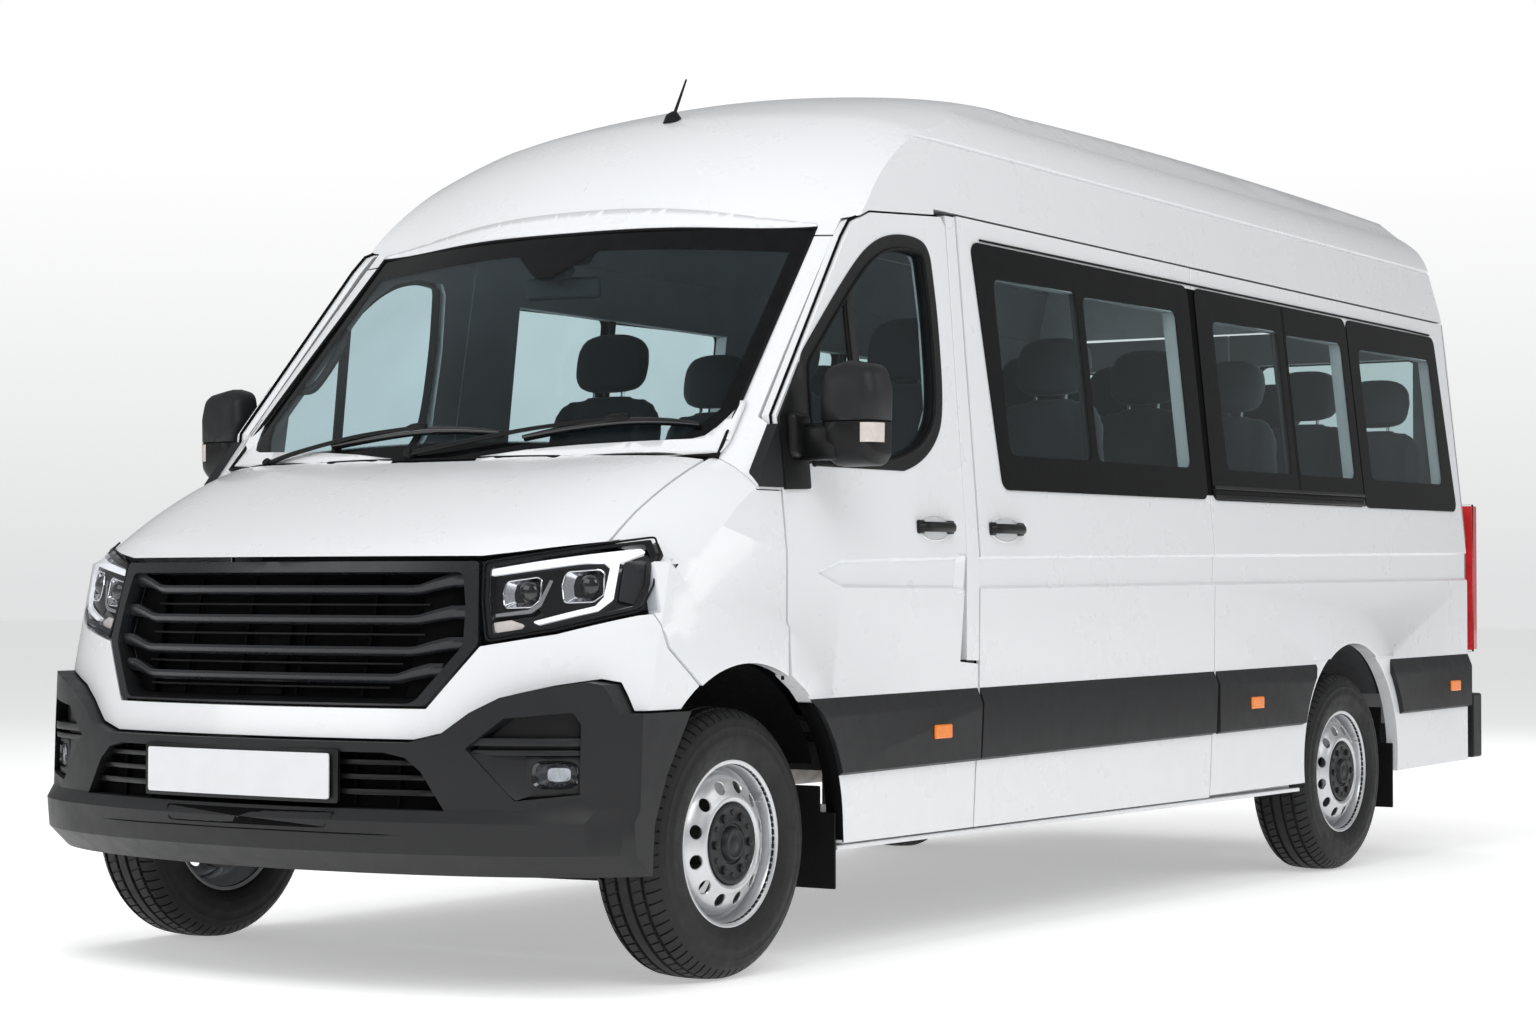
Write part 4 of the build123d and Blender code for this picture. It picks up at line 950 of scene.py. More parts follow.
# dark side cheeks and dividers behind the bars; the cheeks and the screen behind them are partly painted shade of the
# space behind the grille
for s in (1, -1):
    cheek = [(s * x, z) for x, z in [(452, 1027), (559, 1027), (577, 950), (584, 862), (484, 728), (436, 728)]]
    bars.append(patch(f"cheek_{s}", cheek, on_nose(44), black_and_recess_shade, "root", step=80, thick=0.012,
                      bevel=(0.003, 2)))
for x in (-306, -100, 100, 306):
    bars.append(patch(f"rib_{x}", [(x - 4, 730), (x + 4, 730), (x + 4, 1026), (x - 4, 1026)], on_nose(48),
                      black_and_recess_shade, "root", step=80, thick=0.008))
bars.append(patch("latch_plate", rounded([(-52, 730), (52, 730), (52, 908), (-52, 908)], 8), on_nose(50),
                  black_and_recess_shade, "root", step=80, thick=0.006, bevel=(0.002, 2)))
# screen: a near-black sheet, painted shade standing in for the dark space behind the grille
bars.append(patch("screen", rounded(mirror_pts([(0, 1032), (566, 1032), (585, 862), (482, 724), (0, 724)]), 8),
                  on_nose(64), black_and_recess_shade, "root", step=60, thick=0.004))
bars_ob = join("grille_bars", bars + [inner_wall], "root")
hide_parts("grille")

# ------------------------------------------------------------------ headlights
LENS = [(618, 1062), (628, 970), (652, 872), (812, 901), (960, 946), (973, 1008), (970, 1082), (935, 1124),
        (836, 1104)]
BEZEL_IN = [(630, 1052), (639, 972), (661, 886), (812, 912), (950, 955), (962, 1010), (959, 1078), (930, 1112),
            (836, 1094)]
DRL = [(630, 1030), (634, 1047), (836, 1082), (930, 1097), (944, 1088), (928, 1073), (914, 1062), (912, 972),
       (888, 944), (765, 910), (748, 917), (880, 956), (894, 978), (898, 1050), (884, 1064), (836, 1060)]
ARC = [(636, 926), (735, 938), (757, 955), (776, 1018), (768, 1020), (748, 962), (728, 947), (636, 934)]
INDICATOR = [(646, 894), (652, 914), (697, 921), (732, 909), (722, 896), (660, 884)]


def mirrored(pts, s):
    return pts if s > 0 else [(-x, z) for x, z in pts]


for s, word in SIDES:
    parts = []
    lens = rounded(mirrored(LENS, s), [14, 4, 16, 4, 14, 10, 22, 12, 4], 5)
    inner = rounded(mirrored(BEZEL_IN, s), [14, 4, 14, 4, 12, 10, 20, 12, 4], 5)
    # bowl: floor, wall, black edge under the lens
    parts.append(patch("floor", grown(inner, 3), on_nose(52), black_gloss, "root", step=40, thick=0.003))
    parts.append(ring_wall("wall", inner, on_nose(7), grown(inner, 0.5), on_nose(52), black_gloss, "root",
                           solid=0.002))
    parts.append(patch("bezel", grown(lens, -3), on_nose(5), satin_black, "root", holes=[inner], step=60,
                       thick=0.003))
    # mask between the lamp units
    mask = rounded(mirrored([(634, 1024), (640, 936), (744, 952), (772, 926), (880, 962), (890, 1046), (876, 1056),
                             (836, 1052)], s), 8, 4)
    units = [rounded(mirrored([(665, 1016), (660, 985), (668, 951), (733, 953), (750, 972), (748, 1020),
                               (738, 1027)], s), 13, 6),
             rounded(mirrored([(802, 1040), (797, 1004), (806, 964), (868, 966), (886, 985), (882, 1036),
                               (872, 1046)], s), 14, 6)]
    parts.append(patch("mask", mask, on_nose(30), satin_black, "root", holes=units, step=30, thick=0.004))
    for k, u in enumerate(units):
        cx = sum(p[0] for p in u) / len(u)
        cz = sum(p[1] for p in u) / len(u)
        parts.append(tube(f"chrome_{k}", [P(x, nose_v(x, z) + 27, z) for x, z in u], 0.0022, chrome, "root", 8,
                          closed=True))
        small = [(cx + (x - cx) * 0.72, cz + (z - cz) * 0.72) for x, z in u]
        parts.append(ring_wall(f"reflector_{k}", u, on_nose(29), small, on_nose(48), chrome, "root", solid=0.001))
        parts.append(patch(f"back_{k}", small, on_nose(48), black_gloss, "root", step=20, thick=0.002))
        # projector ball
        verts, faces = [], []
        rx = (max(p[0] for p in small) - min(p[0] for p in small)) / 2 * 0.95
        for i in range(9):
            a = math.pi / 2 * i / 8
            for j in range(24):
                b = 2 * math.pi * j / 24
                x, z = cx + rx * math.cos(a) * math.cos(b), cz + rx * 0.92 * math.cos(a) * math.sin(b)
                verts.append(P(x, nose_v(cx, cz) + 46 - 14 * math.sin(a), z))
        for i in range(8):
            for j in range(24):
                faces.append((i * 24 + j, i * 24 + (j + 1) % 24, (i + 1) * 24 + (j + 1) % 24, (i + 1) * 24 + j))
        parts.append(put(f"ball_{k}", verts, faces, black_gloss, "root"))
    parts.append(patch("arc", mirrored(ARC, s), on_nose(24), chrome, "root", step=30, thick=0.006))
    # outer reflector behind the guide
    parts.append(patch("outer", rounded(mirrored([(918, 1062), (917, 970), (948, 958), (958, 1010), (955, 1074),
                                                  (946, 1082)], s), 5), on_nose(20), bar_black, "root", step=12,
                       thick=0.004))
    housing = join(f"{word}_headlight_housing", parts, "root")
    guide = patch(f"{word}_light_guide", rounded(mirrored(DRL, s), 4, 4), on_nose(11), white_lamp, "root", step=30,
                  thick=0.012, bevel=(0.002, 2))
    ind = patch(f"{word}_indicator", rounded(mirrored(INDICATOR, s), 5, 4), on_nose(14), clear_amber, "root",
                step=12, thick=0.010, bevel=(0.0015, 2))
    # rubber edge round the lens
    tube(f"{word}_headlight_seal", [P(x, nose_v(x, z) + 3, z) for x, z in grown(lens, 3)], 0.0028, rubber, "root", 8,
         closed=True)

# ------------------------------------------------------------------ windscreen surface
SET_S = cubic_spline(ST_X, [165, 122, 100, 28, 0, 28, 100, 122, 165])
SET_B = cubic_spline(ST_X, [140, 40, -10, -6, 0, -6, -10, 40, 140])
SET_R = cubic_spline(ST_X, [330, 215, 100, 22, 0, 22, 100, 215, 330])
S_UP = Vector((0, 0.6630, 0.7486))
S_OUT = Vector((0, -0.7486, 0.6630))
screen_tree = tree_of("windscreen")


def screen_v(x, z):
    b = SET_B(x)
    return -30 + SET_S(x) + (z - (1345 - b)) * 620 / (700 - 0.2 * SET_R(x) + b)


def on_screen(x, z, lift=0.0):
    """point on the windscreen at x and height z, lifted outwards"""
    far = P(x, screen_v(x, z) - 300, z)
    return cast(screen_tree, far, (0, 1, 0), P(x, screen_v(x, z), z)) + S_OUT * (lift / 1000)


def on_screen_ab(a, b, lift=0.0):
    """the same, from coordinates in the slope of the screen"""
    t = 0.0
    for _ in range(6):
        v = -30 + 0.6630 * b + 0.7486 * t
        z = 1345 + 0.7486 * b - 0.6630 * t
        t -= (v - screen_v(a, z)) / 1.336
    return P(a, -30 + 0.6630 * b + 0.7486 * t, 1345 + 0.7486 * b - 0.6630 * t) + S_OUT * (lift / 1000)


def arc_pts(p0, pm, p1, n):
    """points of the parabola-like arc through three points"""
    out = []
    for i in range(n + 1):
        t = i / n
        c = [2 * m - 0.5 * (q + w) for q, m, w in zip(p0, pm, p1)]
        out.append(tuple((1 - t) ** 2 * q + 2 * t * (1 - t) * m + t * t * w for q, m, w in zip(p0, c, p1)))
    return out


def screen_loop(g, n=40):
    a, b, c, d = (-868 - g, 72 - g), (-790 - g, 955 + g), (790 + g, 955 + g), (868 + g, 72 - g)
    loop = [tuple(a[k] + (b[k] - a[k]) * i / 14 for k in (0, 1)) for i in range(14)]
    loop += arc_pts(b, (0, 902 + g), c, n)[:-1]
    loop += [tuple(c[k] + (d[k] - c[k]) * i / 14 for k in (0, 1)) for i in range(14)]
    loop += arc_pts(d, (0, 5 - g), a, n)[:-1]
    return loop


tube("windscreen_seal", [on_screen_ab(a, b, -2) for a, b in screen_loop(-2)], 0.0052, rubber, "root", 8,
     closed=True, up=S_OUT)
# header panel above the glass
patch("windscreen_header", arc_pts((-786, 968), (0, 993), (786, 968), 36) + arc_pts((791, 955), (0, 902), (-791, 955), 36),
      lambda a, b: on_screen_ab(a, b, 3.5), paint, "root", step=24, thick=0.003)
# scuttle strip along the foot of the screen
tube("scuttle_strip", [on_screen_ab(a, b, -9) for a, b in arc_pts((-850, 58), (0, -8), (850, 58), 40)], 0.012,
     rubber, "root", 8, flat=0.5, up=S_OUT)


def wiper(name, arm, blade):
    """arm with its tip clip, and a beam blade; points are x, z, lift"""
    parts = []
    path = smooth_profile([tuple(on_screen(*q)) for q in arm], 6)
    n = len(path)
    parts.append(tube("arm", [Vector(q) for q in path], [0.0105 - 0.0050 * i / (n - 1) for i in range(n)],
                      satin_black, "root", 10, flat=0.62, up=S_OUT))
    path = [Vector(q) for q in smooth_profile([tuple(on_screen(*q)) for q in blade], 8)]
    n = len(path)
    parts.append(tube("beam", path, [0.0048 + 0.0056 * math.sin(math.pi * min(1, (i + 0.6) / n)) for i in range(n)],
                      black_gloss, "root", 10, flat=0.85, up=S_OUT))
    parts.append(tube("lip", [q - S_OUT * 0.011 for q in path], 0.0035, rubber, "root", 6, flat=1.9, up=S_OUT))
    tip = on_screen(*arm[-1])
    near = (on_screen(*arm[-1]) - on_screen(*arm[-2])).normalized()
    parts.append(tube("clip", [tip - near * 0.035, tip - near * 0.02, tip + near * 0.02, tip + near * 0.032],
                      [0.008, 0.0125, 0.0125, 0.007], satin_black, "root", 10, flat=0.8, up=S_OUT))
    base = on_screen(*arm[0])
    parts.append(tube("pivot", [base - S_OUT * 0.03, base - S_OUT * 0.004, base + S_OUT * 0.012],
                      [0.019, 0.017, 0.012], satin_black, "root", 14, up=(1, 0, 0)))
    return join(name, parts, "root")


wiper("right_wiper", [(-675, 1346, 12), (-560, 1370, 18), (-330, 1408, 22), (-112, 1430, 21)],
      [(-425, 1392, 12), (-260, 1412, 12), (-110, 1424, 13), (40, 1424, 12), (185, 1414, 11)])
wiper("left_wiper", [(-95, 1360, 12), (60, 1380, 18), (300, 1414, 22), (540, 1438, 21)],
      [(270, 1398, 12), (400, 1420, 12), (542, 1434, 13), (670, 1434, 12), (776, 1424, 11)])

# sensor housing and inner mirror behind the screen
sens = []
for k, (hw, z0, z1, deep) in enumerate([(92, 1925, 2010, 50), (60, 1885, 1930, 42)]):
    v0 = screen_v(0, (z0 + z1) / 2) + 14
    turn = Matrix.Rotation(math.radians(-48), 3, "X")
    c = P(0, v0 + deep / 2, (z0 + z1) / 2)
    h = Vector((hw / 1000, deep / 2000, (z1 - z0) / 2000))
    sens.append(soft_box(f"pod_{k}", c - h, c + h, cabin_grey, "root", 0.012, 3,
                         turn=Matrix.Rotation(math.radians(-41.5), 3, "X")))
vm = screen_v(0, 1880) + 95
sens.append(tube("stalk", [P(0, vm - 60, 1915), P(0, vm - 20, 1890), P(0, vm + 5, 1868)], 0.008, cabin_grey,
                 "root", 8))
sens.append(soft_box("mirror_body", P(-118, vm - 6, 1828), P(118, vm + 20, 1892), cabin_grey, "root", 0.012, 3,
                     turn=Matrix.Rotation(math.radians(12), 3, "Z")))
join("inner_mirror", sens, "root")

# ------------------------------------------------------------------ door mirrors
HEAD = [(1040, 1346), (1072, 1318), (1190, 1320), (1210, 1346), (1214, 1521), (1196, 1584), (1104, 1600),
        (1046, 1586), (1032, 1500)]
HEAD_R = [26, 20, 26, 22, 60, 40, 30, 40, 60]


def head_mesh(s):
    """shell of the mirror head, open to the rear, with its inner lip"""
    outline = rounded(HEAD, HEAD_R, 6)
    cx, cz = 1124, 1460
    rows = []
    for v, k, sh in [(290, 0.10, 0), (290.8, 0.42, 0), (293, 0.62, 0), (299, 0.78, 0), (309, 0.88, 0),
                     (325, 0.95, 0), (346, 0.985, 0), (378, 1.0, 0), (384, 0.992, 0), (385.5, 0.978, 0),
                     (384, 0.955, 0), (374, 0.945, 0)]:
        rows.append([(s * (cx + (x - cx) * k), v + (x - cx) * 0.05, cz + (z - cz) * k) for x, z in outline])
    n = len(outline)
    verts = [P(*q) for row in rows for q in row]
    faces = []
    for i in range(len(rows) - 1):
        for k in range(n):
            faces.append((i * n + k, i * n + (k + 1) % n, (i + 1) * n + (k + 1) % n, (i + 1) * n + k))
    faces.append(tuple(range(n)))
    faces.append(tuple((len(rows) - 1) * n + k for k in range(n))[::-1])
    return verts, faces


def part_of(verts, faces, cuts, grow=0.0, centre=None):
    """closed piece of a closed mesh kept on the inner side of each cutting plane (point, outward normal)"""
    bm = bmesh.new()
    vs = [bm.verts.new(v) for v in verts]
    for f in faces:
        bm.faces.new([vs[i] for i in f])
    bmesh.ops.recalc_face_normals(bm, faces=bm.faces)
    if grow:
        bm.normal_update()
        for v, nrm in [(v, v.normal.copy()) for v in bm.verts]:
            v.co += nrm * grow
    for co, no in cuts:
        bmesh.ops.bisect_plane(bm, geom=bm.verts[:] + bm.edges[:] + bm.faces[:], plane_co=co, plane_no=no,
                               clear_outer=True)
        edges = [e for e in bm.edges if len(e.link_faces) == 1]
        if edges:
            bmesh.ops.holes_fill(bm, edges=edges, sides=0)
    return bm


for s, word in SIDES:
    body = word + "_cab_door"
    verts, faces = head_mesh(s)
    parts = []
    up = part_of(verts, faces, [(P(0, 0, 1438), (0, 0, -1))])
    parts.append(finish_bm("upper", up, trim, body, bevel=(0.0015, 2), angle=55))
    low = part_of(verts, faces, [(P(0, 0, 1435), (0, 0, 1))])
    parts.append(finish_bm("lower", low, satin_black, body, bevel=(0.0015, 2), angle=55))
    parts.append(finish_bm("core", part_of([q + (P(s * 1124, 345, 1460) - q) * 0.03 for q in verts], faces, []),
                           black_and_recess_shade, body))
    # arm with its cover, and the foot on the door
    parts.append(soft_box("arm", P(min(s * 985, s * 1120), 304, 1366), P(max(s * 985, s * 1120), 362, 1434),
                          satin_black, body, 0.010, 3))
    parts.append(soft_box("cover", P(min(s * 984, s * 1096), 290, 1336), P(max(s * 984, s * 1096), 336, 1424),
                          satin_black, body, 0.007, 3))
    parts.append(soft_box("foot", P(min(s * 962, s * 1000), 246, 1342), P(max(s * 962, s * 1000), 334, 1462),
                          satin_black, body, 0.018, 4))
    sail = rounded([(220, 1258), (220, 1447), (356, 1612), (346, 1480), (340, 1262)], [4, 6, 6, 30, 8], 4)
    parts.append(patch("sail", sail, on_side(s, 9), satin_black, body, step=60, thick=0.010, bevel=(0.004, 3),
                       out=(s, 0, 0)))
    mirror = join(f"{word}_door_mirror", parts, body)
    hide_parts(f"{word}_mirror")
    lens = part_of(verts, faces, [(P(s * 1171, 0, 0), (-s, 0, 0)), (P(0, 0, 1380), (0, 0, -1)),
                                  (P(0, 0, 1431), (0, 0, 1)), (P(0, 352, 0), (0, 1, 0))], 0.0016)
    finish_bm(f"{word}_mirror_indicator", lens, clear_amber, body, bevel=(0.001, 2))
    face = [(x * 1.0, z) for x, z in rounded([(1056, 1352), (1076, 1336), (1186, 1338), (1197, 1354), (1200, 1516),
                                              (1186, 1568), (1106, 1582), (1060, 1570), (1048, 1500)],
                                             [16, 12, 16, 14, 40, 26, 20, 26, 40], 5)]
    patch(f"{word}_mirror_glass", mirrored(face, s), lambda x, z: P(x, 379 + (abs(x) - 1124) * 0.05, z),
          mirror_face, body, step=60, thick=0.004, bevel=(0.001, 2), out=(0, 1, 0))

# ------------------------------------------------------------------ cowl corners, gap seals and painted gap shade, arch edges
COWL = [(150, 1352), (300, 1368), (450, 1378), (600, 1384), (700, 1387), (770, 1389), (800, 1397), (820, 1420),
        (833, 1445), (843, 1468), (850, 1492), (868, 1492), (874, 1440), (880, 1380), (872, 1352), (700, 1340),
        (450, 1336), (150, 1334)]
for s, word in SIDES:
    patch(f"{word}_cowl_corner", mirrored(COWL, s), lambda x, z: on_screen(x, z, 3.5), paint, "root", step=24,
          thick=0.003)
DOOR_GAP = [(212, 760), (212, 1250), (212, 1454), (637, 1964), (688, 2014), (779, 2048), (960, 2060), (1165, 2072),
            (1189, 2042), (1160, 1560), (1131, 1080), (1096, 794)]
SLIDE_GAP = [(1163, 330), (1197, 705), (1205, 1080), (1253, 2079), (2000, 2065), (2751, 2050)]
for s, word in SIDES:
    # near-black tubes deep in the door gaps: partly the seals, partly painted shade that widens the dark gap line
    tube(f"{word}_door_seal_gap_shade", [on_side(s, -15)(*q) for q in smooth_profile(DOOR_GAP, 1)], 0.0042, black_and_recess_shade, "root", 6)
    if s > 0:
        tube("sliding_door_seal_gap_shade", [on_side(s, -14)(*q) for q in SLIDE_GAP], 0.0038, black_and_recess_shade, "root", 6)
    # the door's swage rises to meet the pillar at its rear edge
    door_tree, post_tree = tree_of(f"{word}_cab_door"), tree_of(f"{word}_side_panel")
    verts, faces = [], []
    for k in range(15):
        z = 984 + 8 * k
        edge = 1096 + (z - 794) * 35 / 286 if z < 1080 else 1131 + (z - 1080) * 29 / 480
        near = P(s * (side_x(z) - 2), edge, z)
        low = abs(cast(door_tree, P(s * 1300, edge - 56, z), (-s, 0, 0), near).x) * 1000 + 0.6
        last = abs(cast(door_tree, P(s * 1300, edge - 12, z), (-s, 0, 0), near).x) * 1000 + 0.6
        high = max(last, abs(cast(post_tree, P(s * 1300, edge + 14, z), (-s, 0, 0), near).x) * 1000 - 0.6)
        for j, t in ((-56, 0.0), (-46, 0.12), (-30, 0.5), (-15, 0.88), (-6, 1.0)):
            verts.append(P(s * max(low + (high - low) * t, low if t < 1 else last), edge + j, z))
    for k in range(14):
        for j in range(4):
            faces.append((5 * k + j, 5 * k + j + 1, 5 * k + j + 6, 5 * k + j + 5))
    put(f"{word}_door_swage_end", verts, faces, paint, f"{word}_cab_door", solid=0.0012,
        out=(s, 0, 0))
    # filler behind the joint of wing and lamp
    soft_box(f"{word}_lamp_filler", P(s * 957, -249, 1060) - Vector((0.012, 0.009, 0.014)),
             P(s * 957, -249, 1060) + Vector((0.012, 0.009, 0.014)), paint, "root", 0.002, 2)
    verts, faces = [], []
    rows = [(476, 320)] + [(28 + 444.6 * math.cos(a), 366 + 444.6 * math.sin(a)) for a in
                           [math.radians(k * 3.2) for k in range(16)]]
    for v, z in rows:
        for x in (952, 1004):
            verts.append(P(s * x, v - 1.2, z))
    for k in range(len(rows) - 1):
        faces.append((2 * k, 2 * k + 1, 2 * k + 3, 2 * k + 2))
    put(f"{word}_door_arch_edge", verts, faces, black_and_recess_shade, f"{word}_cab_door", solid=0.0008)

# ------------------------------------------------------------------ cab door windows
def eased(pts, times=3):
    """closed outline with its corners cut again and again until it is smooth"""
    for _ in range(times):
        out = []
        for (x0, z0), (x1, z1) in zip(pts, pts[1:] + pts[:1]):
            out += [(x0 * 0.75 + x1 * 0.25, z0 * 0.75 + z1 * 0.25), (x0 * 0.25 + x1 * 0.75, z0 * 0.25 + z1 * 0.75)]
        pts = out
    return pts


DOOR_GLASS = [(345, 1318), (345, 1300), (366, 1301), (520, 1306), (700, 1315), (880, 1345), (1000, 1410), (1060, 1500),
              (1078, 1750), (1072, 1905), (1068, 1950), (1040, 1980), (920, 1986), (800, 1960), (676, 1886),
              (400, 1644), (368, 1612), (360, 1580)]
DOOR_OUT = eased(grown(DOOR_GLASS, 13))
DOOR_IN = eased(grown(DOOR_GLASS, -31))
for s, word in SIDES:
    body = word + "_cab_door"
    parts = [patch("rim", DOOR_OUT, on_side(s, 2.5), satin_black, body, holes=[DOOR_IN], step=400, thick=0.016,
                   bevel=(0.003, 3), out=(s, 0, 0))]
    parts.append(tube("bead", [on_side(s, 2.5)(*q) for q in grown(DOOR_IN, 5)], 0.0042, rubber, body, 8,
                      closed=True, up=(s, 0, 0)))
    parts.append(ring_wall("jamb", DOOR_IN, on_side(s, -2), grown(DOOR_IN, -2), on_side(s, -30), rubber, body,
                           solid=0.003))
    # divider between the quarter light and the drop glass
    for x0, x1, lift, mt in ((628, 662, -3, trim), (618, 628, -8, rubber)):
        parts.append(patch("divider", [(x0, 1318), (x1, 1320), (x1 - 4, 1858), (x0 - 4, 1836)], on_side(s, lift), mt,
                           body, step=200, thick=0.010, bevel=(0.003, 2), out=(s, 0, 0)))
    join(f"{word}_door_window_frame", parts, body)

# ------------------------------------------------------------------ handles and side markers
for s, word in SIDES:
    spots = [(965, word + "_cab_door")] + ([(1364, "root")] if s > 0 else [])
    for v0, body in spots:
        parts = []
        dish = [(v0 + 88 * math.cos(2 * math.pi * i / 40) * (1.0), 1168 + 38 * math.sin(2 * math.pi * i / 40))
                for i in range(40)]
        inner = [(v0 + (v - v0) * 0.93, 1168 + (z - 1168) * 0.86) for v, z in dish]
        rim = ring_wall("rim", dish, on_side(s, 0.4), inner, on_side(s, 1.4), paint, body, solid=0.0012)
        grip = []
        for v, lift in ((-86, 3), (-74, 17), (-55, 25), (0, 28), (55, 25), (74, 17), (86, 3)):
            grip.append(on_side(s, lift)(v0 + v, 1170))
        path = [Vector(q) for q in smooth_profile([tuple(q) for q in grip], 4)]
        parts.append(tube("grip", path, 0.0145, satin_black, body, 14, flat=0.62, up=(s, 0, 0.1)))
        for v in (-80, 80):
            q = on_side(s, 4)(v0 + v, 1170)
            parts.append(soft_box("pad", q - Vector((0.006, 0.016, 0.019)), q + Vector((0.006, 0.016, 0.019)),
                                  satin_black, body, 0.005, 3))
        ob = join(f"{word}_handle_{v0}", parts, body)
        bpy.context.view_layer.update()
        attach(rim, body)
        rim.name = f"{word}_handle_dish_{v0}"
band_tree = {}
for s, word in SIDES:
    for v0, z0, body, target in ((966, 598, word + "_cab_door", word + "_door_cladding"),
                                 (2992, 616, "root", "side_cladding"), (4715, 627, "root", "side_cladding")):
        if target not in band_tree:
            band_tree[target] = tree_of(target)
        q = cast(band_tree[target], P(s * 1300, v0, z0), (-s, 0, 0), P(s * 1018, v0, z0))
        soft_box(f"{word}_marker_{v0}", q - Vector((0.006, 0.046, 0.020)), q + Vector((0.006, 0.046, 0.020)), amber,
                 body, 0.005, 3)

# ------------------------------------------------------------------ side window details
for s, word in SIDES:
    lines = []
    # lower runner of the sliding panes
    for z0, z1, lift, mt in ((1289, 1304, 3.5, satin_black), (1306, 1320, 1.5, rubber), (1322, 1334, 4.5, trim)):
        lines.append(patch("rail", [(2752, z0), (3960, z0), (3960, z1), (2752, z1)], on_side(s, lift + 6.5), mt, "root",
                           step=400, thick=0.006, bevel=(0.002, 2), out=(s, 0, 0)))
    # near-black strip behind the gap between the front pane and the next: painted shade of the gap
    lines.append(patch("gap", [(2672, 1300), (2768, 1300), (2768, glass_top(2768) - 6), (2672, glass_top(2672) - 6)],
                       on_side(s, 1.2), black_and_recess_shade, "root", step=120, thick=0.002, out=(s, 0, 0)))
    # edges of the sliding panes
    for v in (3418, 3430):
        lines.append(patch("pane_edge", [(v - 1.5, 1336), (v + 1.5, 1336), (v + 1.5, glass_top(v) - 4),
                                         (v - 1.5, glass_top(v) - 4)], on_side(s, 6.2), rubber, "root", step=900,
                           thick=0.004, out=(s, 0, 0)))
    # posts behind the glass
    for v0, v1, z0, z1 in ((1944, 1972, 1390, 1905), (3380, 3428, 1390, 1880)):
        lines.append(patch("post", [(v0, z0), (v1, z0), (v1, z1), (v0, z1)], on_side(s, -16), cabin_grey, "root",
                           step=600, thick=0.012, bevel=(0.003, 2), out=(s, 0, 0)))
    # drip lip above the panes
    lines.append(tube("lip", [on_side(s, 4)(v, glass_top(v) + 9) for v in range(1372, 4700, 208)] +
                      [on_side(s, 4)(4740, glass_top(4740) + 7)], 0.0035, rubber, "root", 6, up=(s, 0, 0)))
    join(f"{word}_window_trim", lines, "root")

# ------------------------------------------------------------------ lining on the inner faces of the shell
def lined(names, mat, kind="side"):
    for n in names:
        me = NODES[n].data
        me.materials.append(mat)
        slot_no = len(me.materials) - 1
        for p in me.polygons:
            c, nrm = p.center, p.normal
            if kind == "side":
                radial = Vector((c.x, 0, (c.z - 1.35) * 0.7))
                inside = radial.length > 0.2 and nrm.dot(radial.normalized()) < -0.25
            elif kind == "rear":
                inside = nrm.y < -0.4
            else:
                inside = nrm.z < -0.2 or nrm.y > 0.5
            if inside:
                p.material_index = slot_no


lined(["roof", "windscreen_frame", "left_side_panel", "right_side_panel", "sliding_door", "left_cab_door",
       "right_cab_door"], lining)
lined(["left_rear_door", "right_rear_door", "rear_frame"], lining, "rear")
lined(["bonnet"], steel_dark, "top")

# ------------------------------------------------------------------ front bumper details
parts = []
plate_at = lambda x, z: P(x, bumper_v(0, 540) - 8 + abs(x / 310) ** 2 * 12, z)
parts.append(patch("holder", rounded([(-330, 470), (330, 470), (330, 603), (-330, 603)], 8),
                   lambda x, z: P(x, bumper_v(0, 540) + 2 + abs(x / 310) ** 2 * 12, z), satin_black, "root", step=60,
                   thick=0.010, bevel=(0.003, 3)))
join("front_plate_holder", parts, "root")
patch("front_plate", rounded([(-310, 480), (310, 480), (310, 593), (-310, 593)], 8), plate_at, plate_white, "root",
      step=60, thick=0.004, bevel=(0.0012, 2))
# the near-black back of the lower intake is painted shade of the space behind the blades
inserts = [patch("intake_back", mirror_pts([(0, 602), (452, 602), (512, 590), (556, 556), (620, 450), (0, 450)]),
                 on_bumper(46), black_and_recess_shade, "root", step=60, thick=0.004)]
for z0, z1, half, deep in ((566, 578, 520, 16), (530, 542, 550, 15), (492, 506, 575, 14)):
    inserts.append(patch("blade", [(-half, z0), (half, z0), (half, z1), (-half, z1)], on_bumper(deep), satin_black,
                         "root", step=40, thick=0.026, bevel=(0.003, 2)))
for x in (-470, -350, 350, 470):
    inserts.append(patch("rib", [(x - 4, 458), (x + 4, 458), (x + 4, 590), (x - 4, 590)], on_bumper(34), black_and_recess_shade,
                         "root", step=80, thick=0.010))
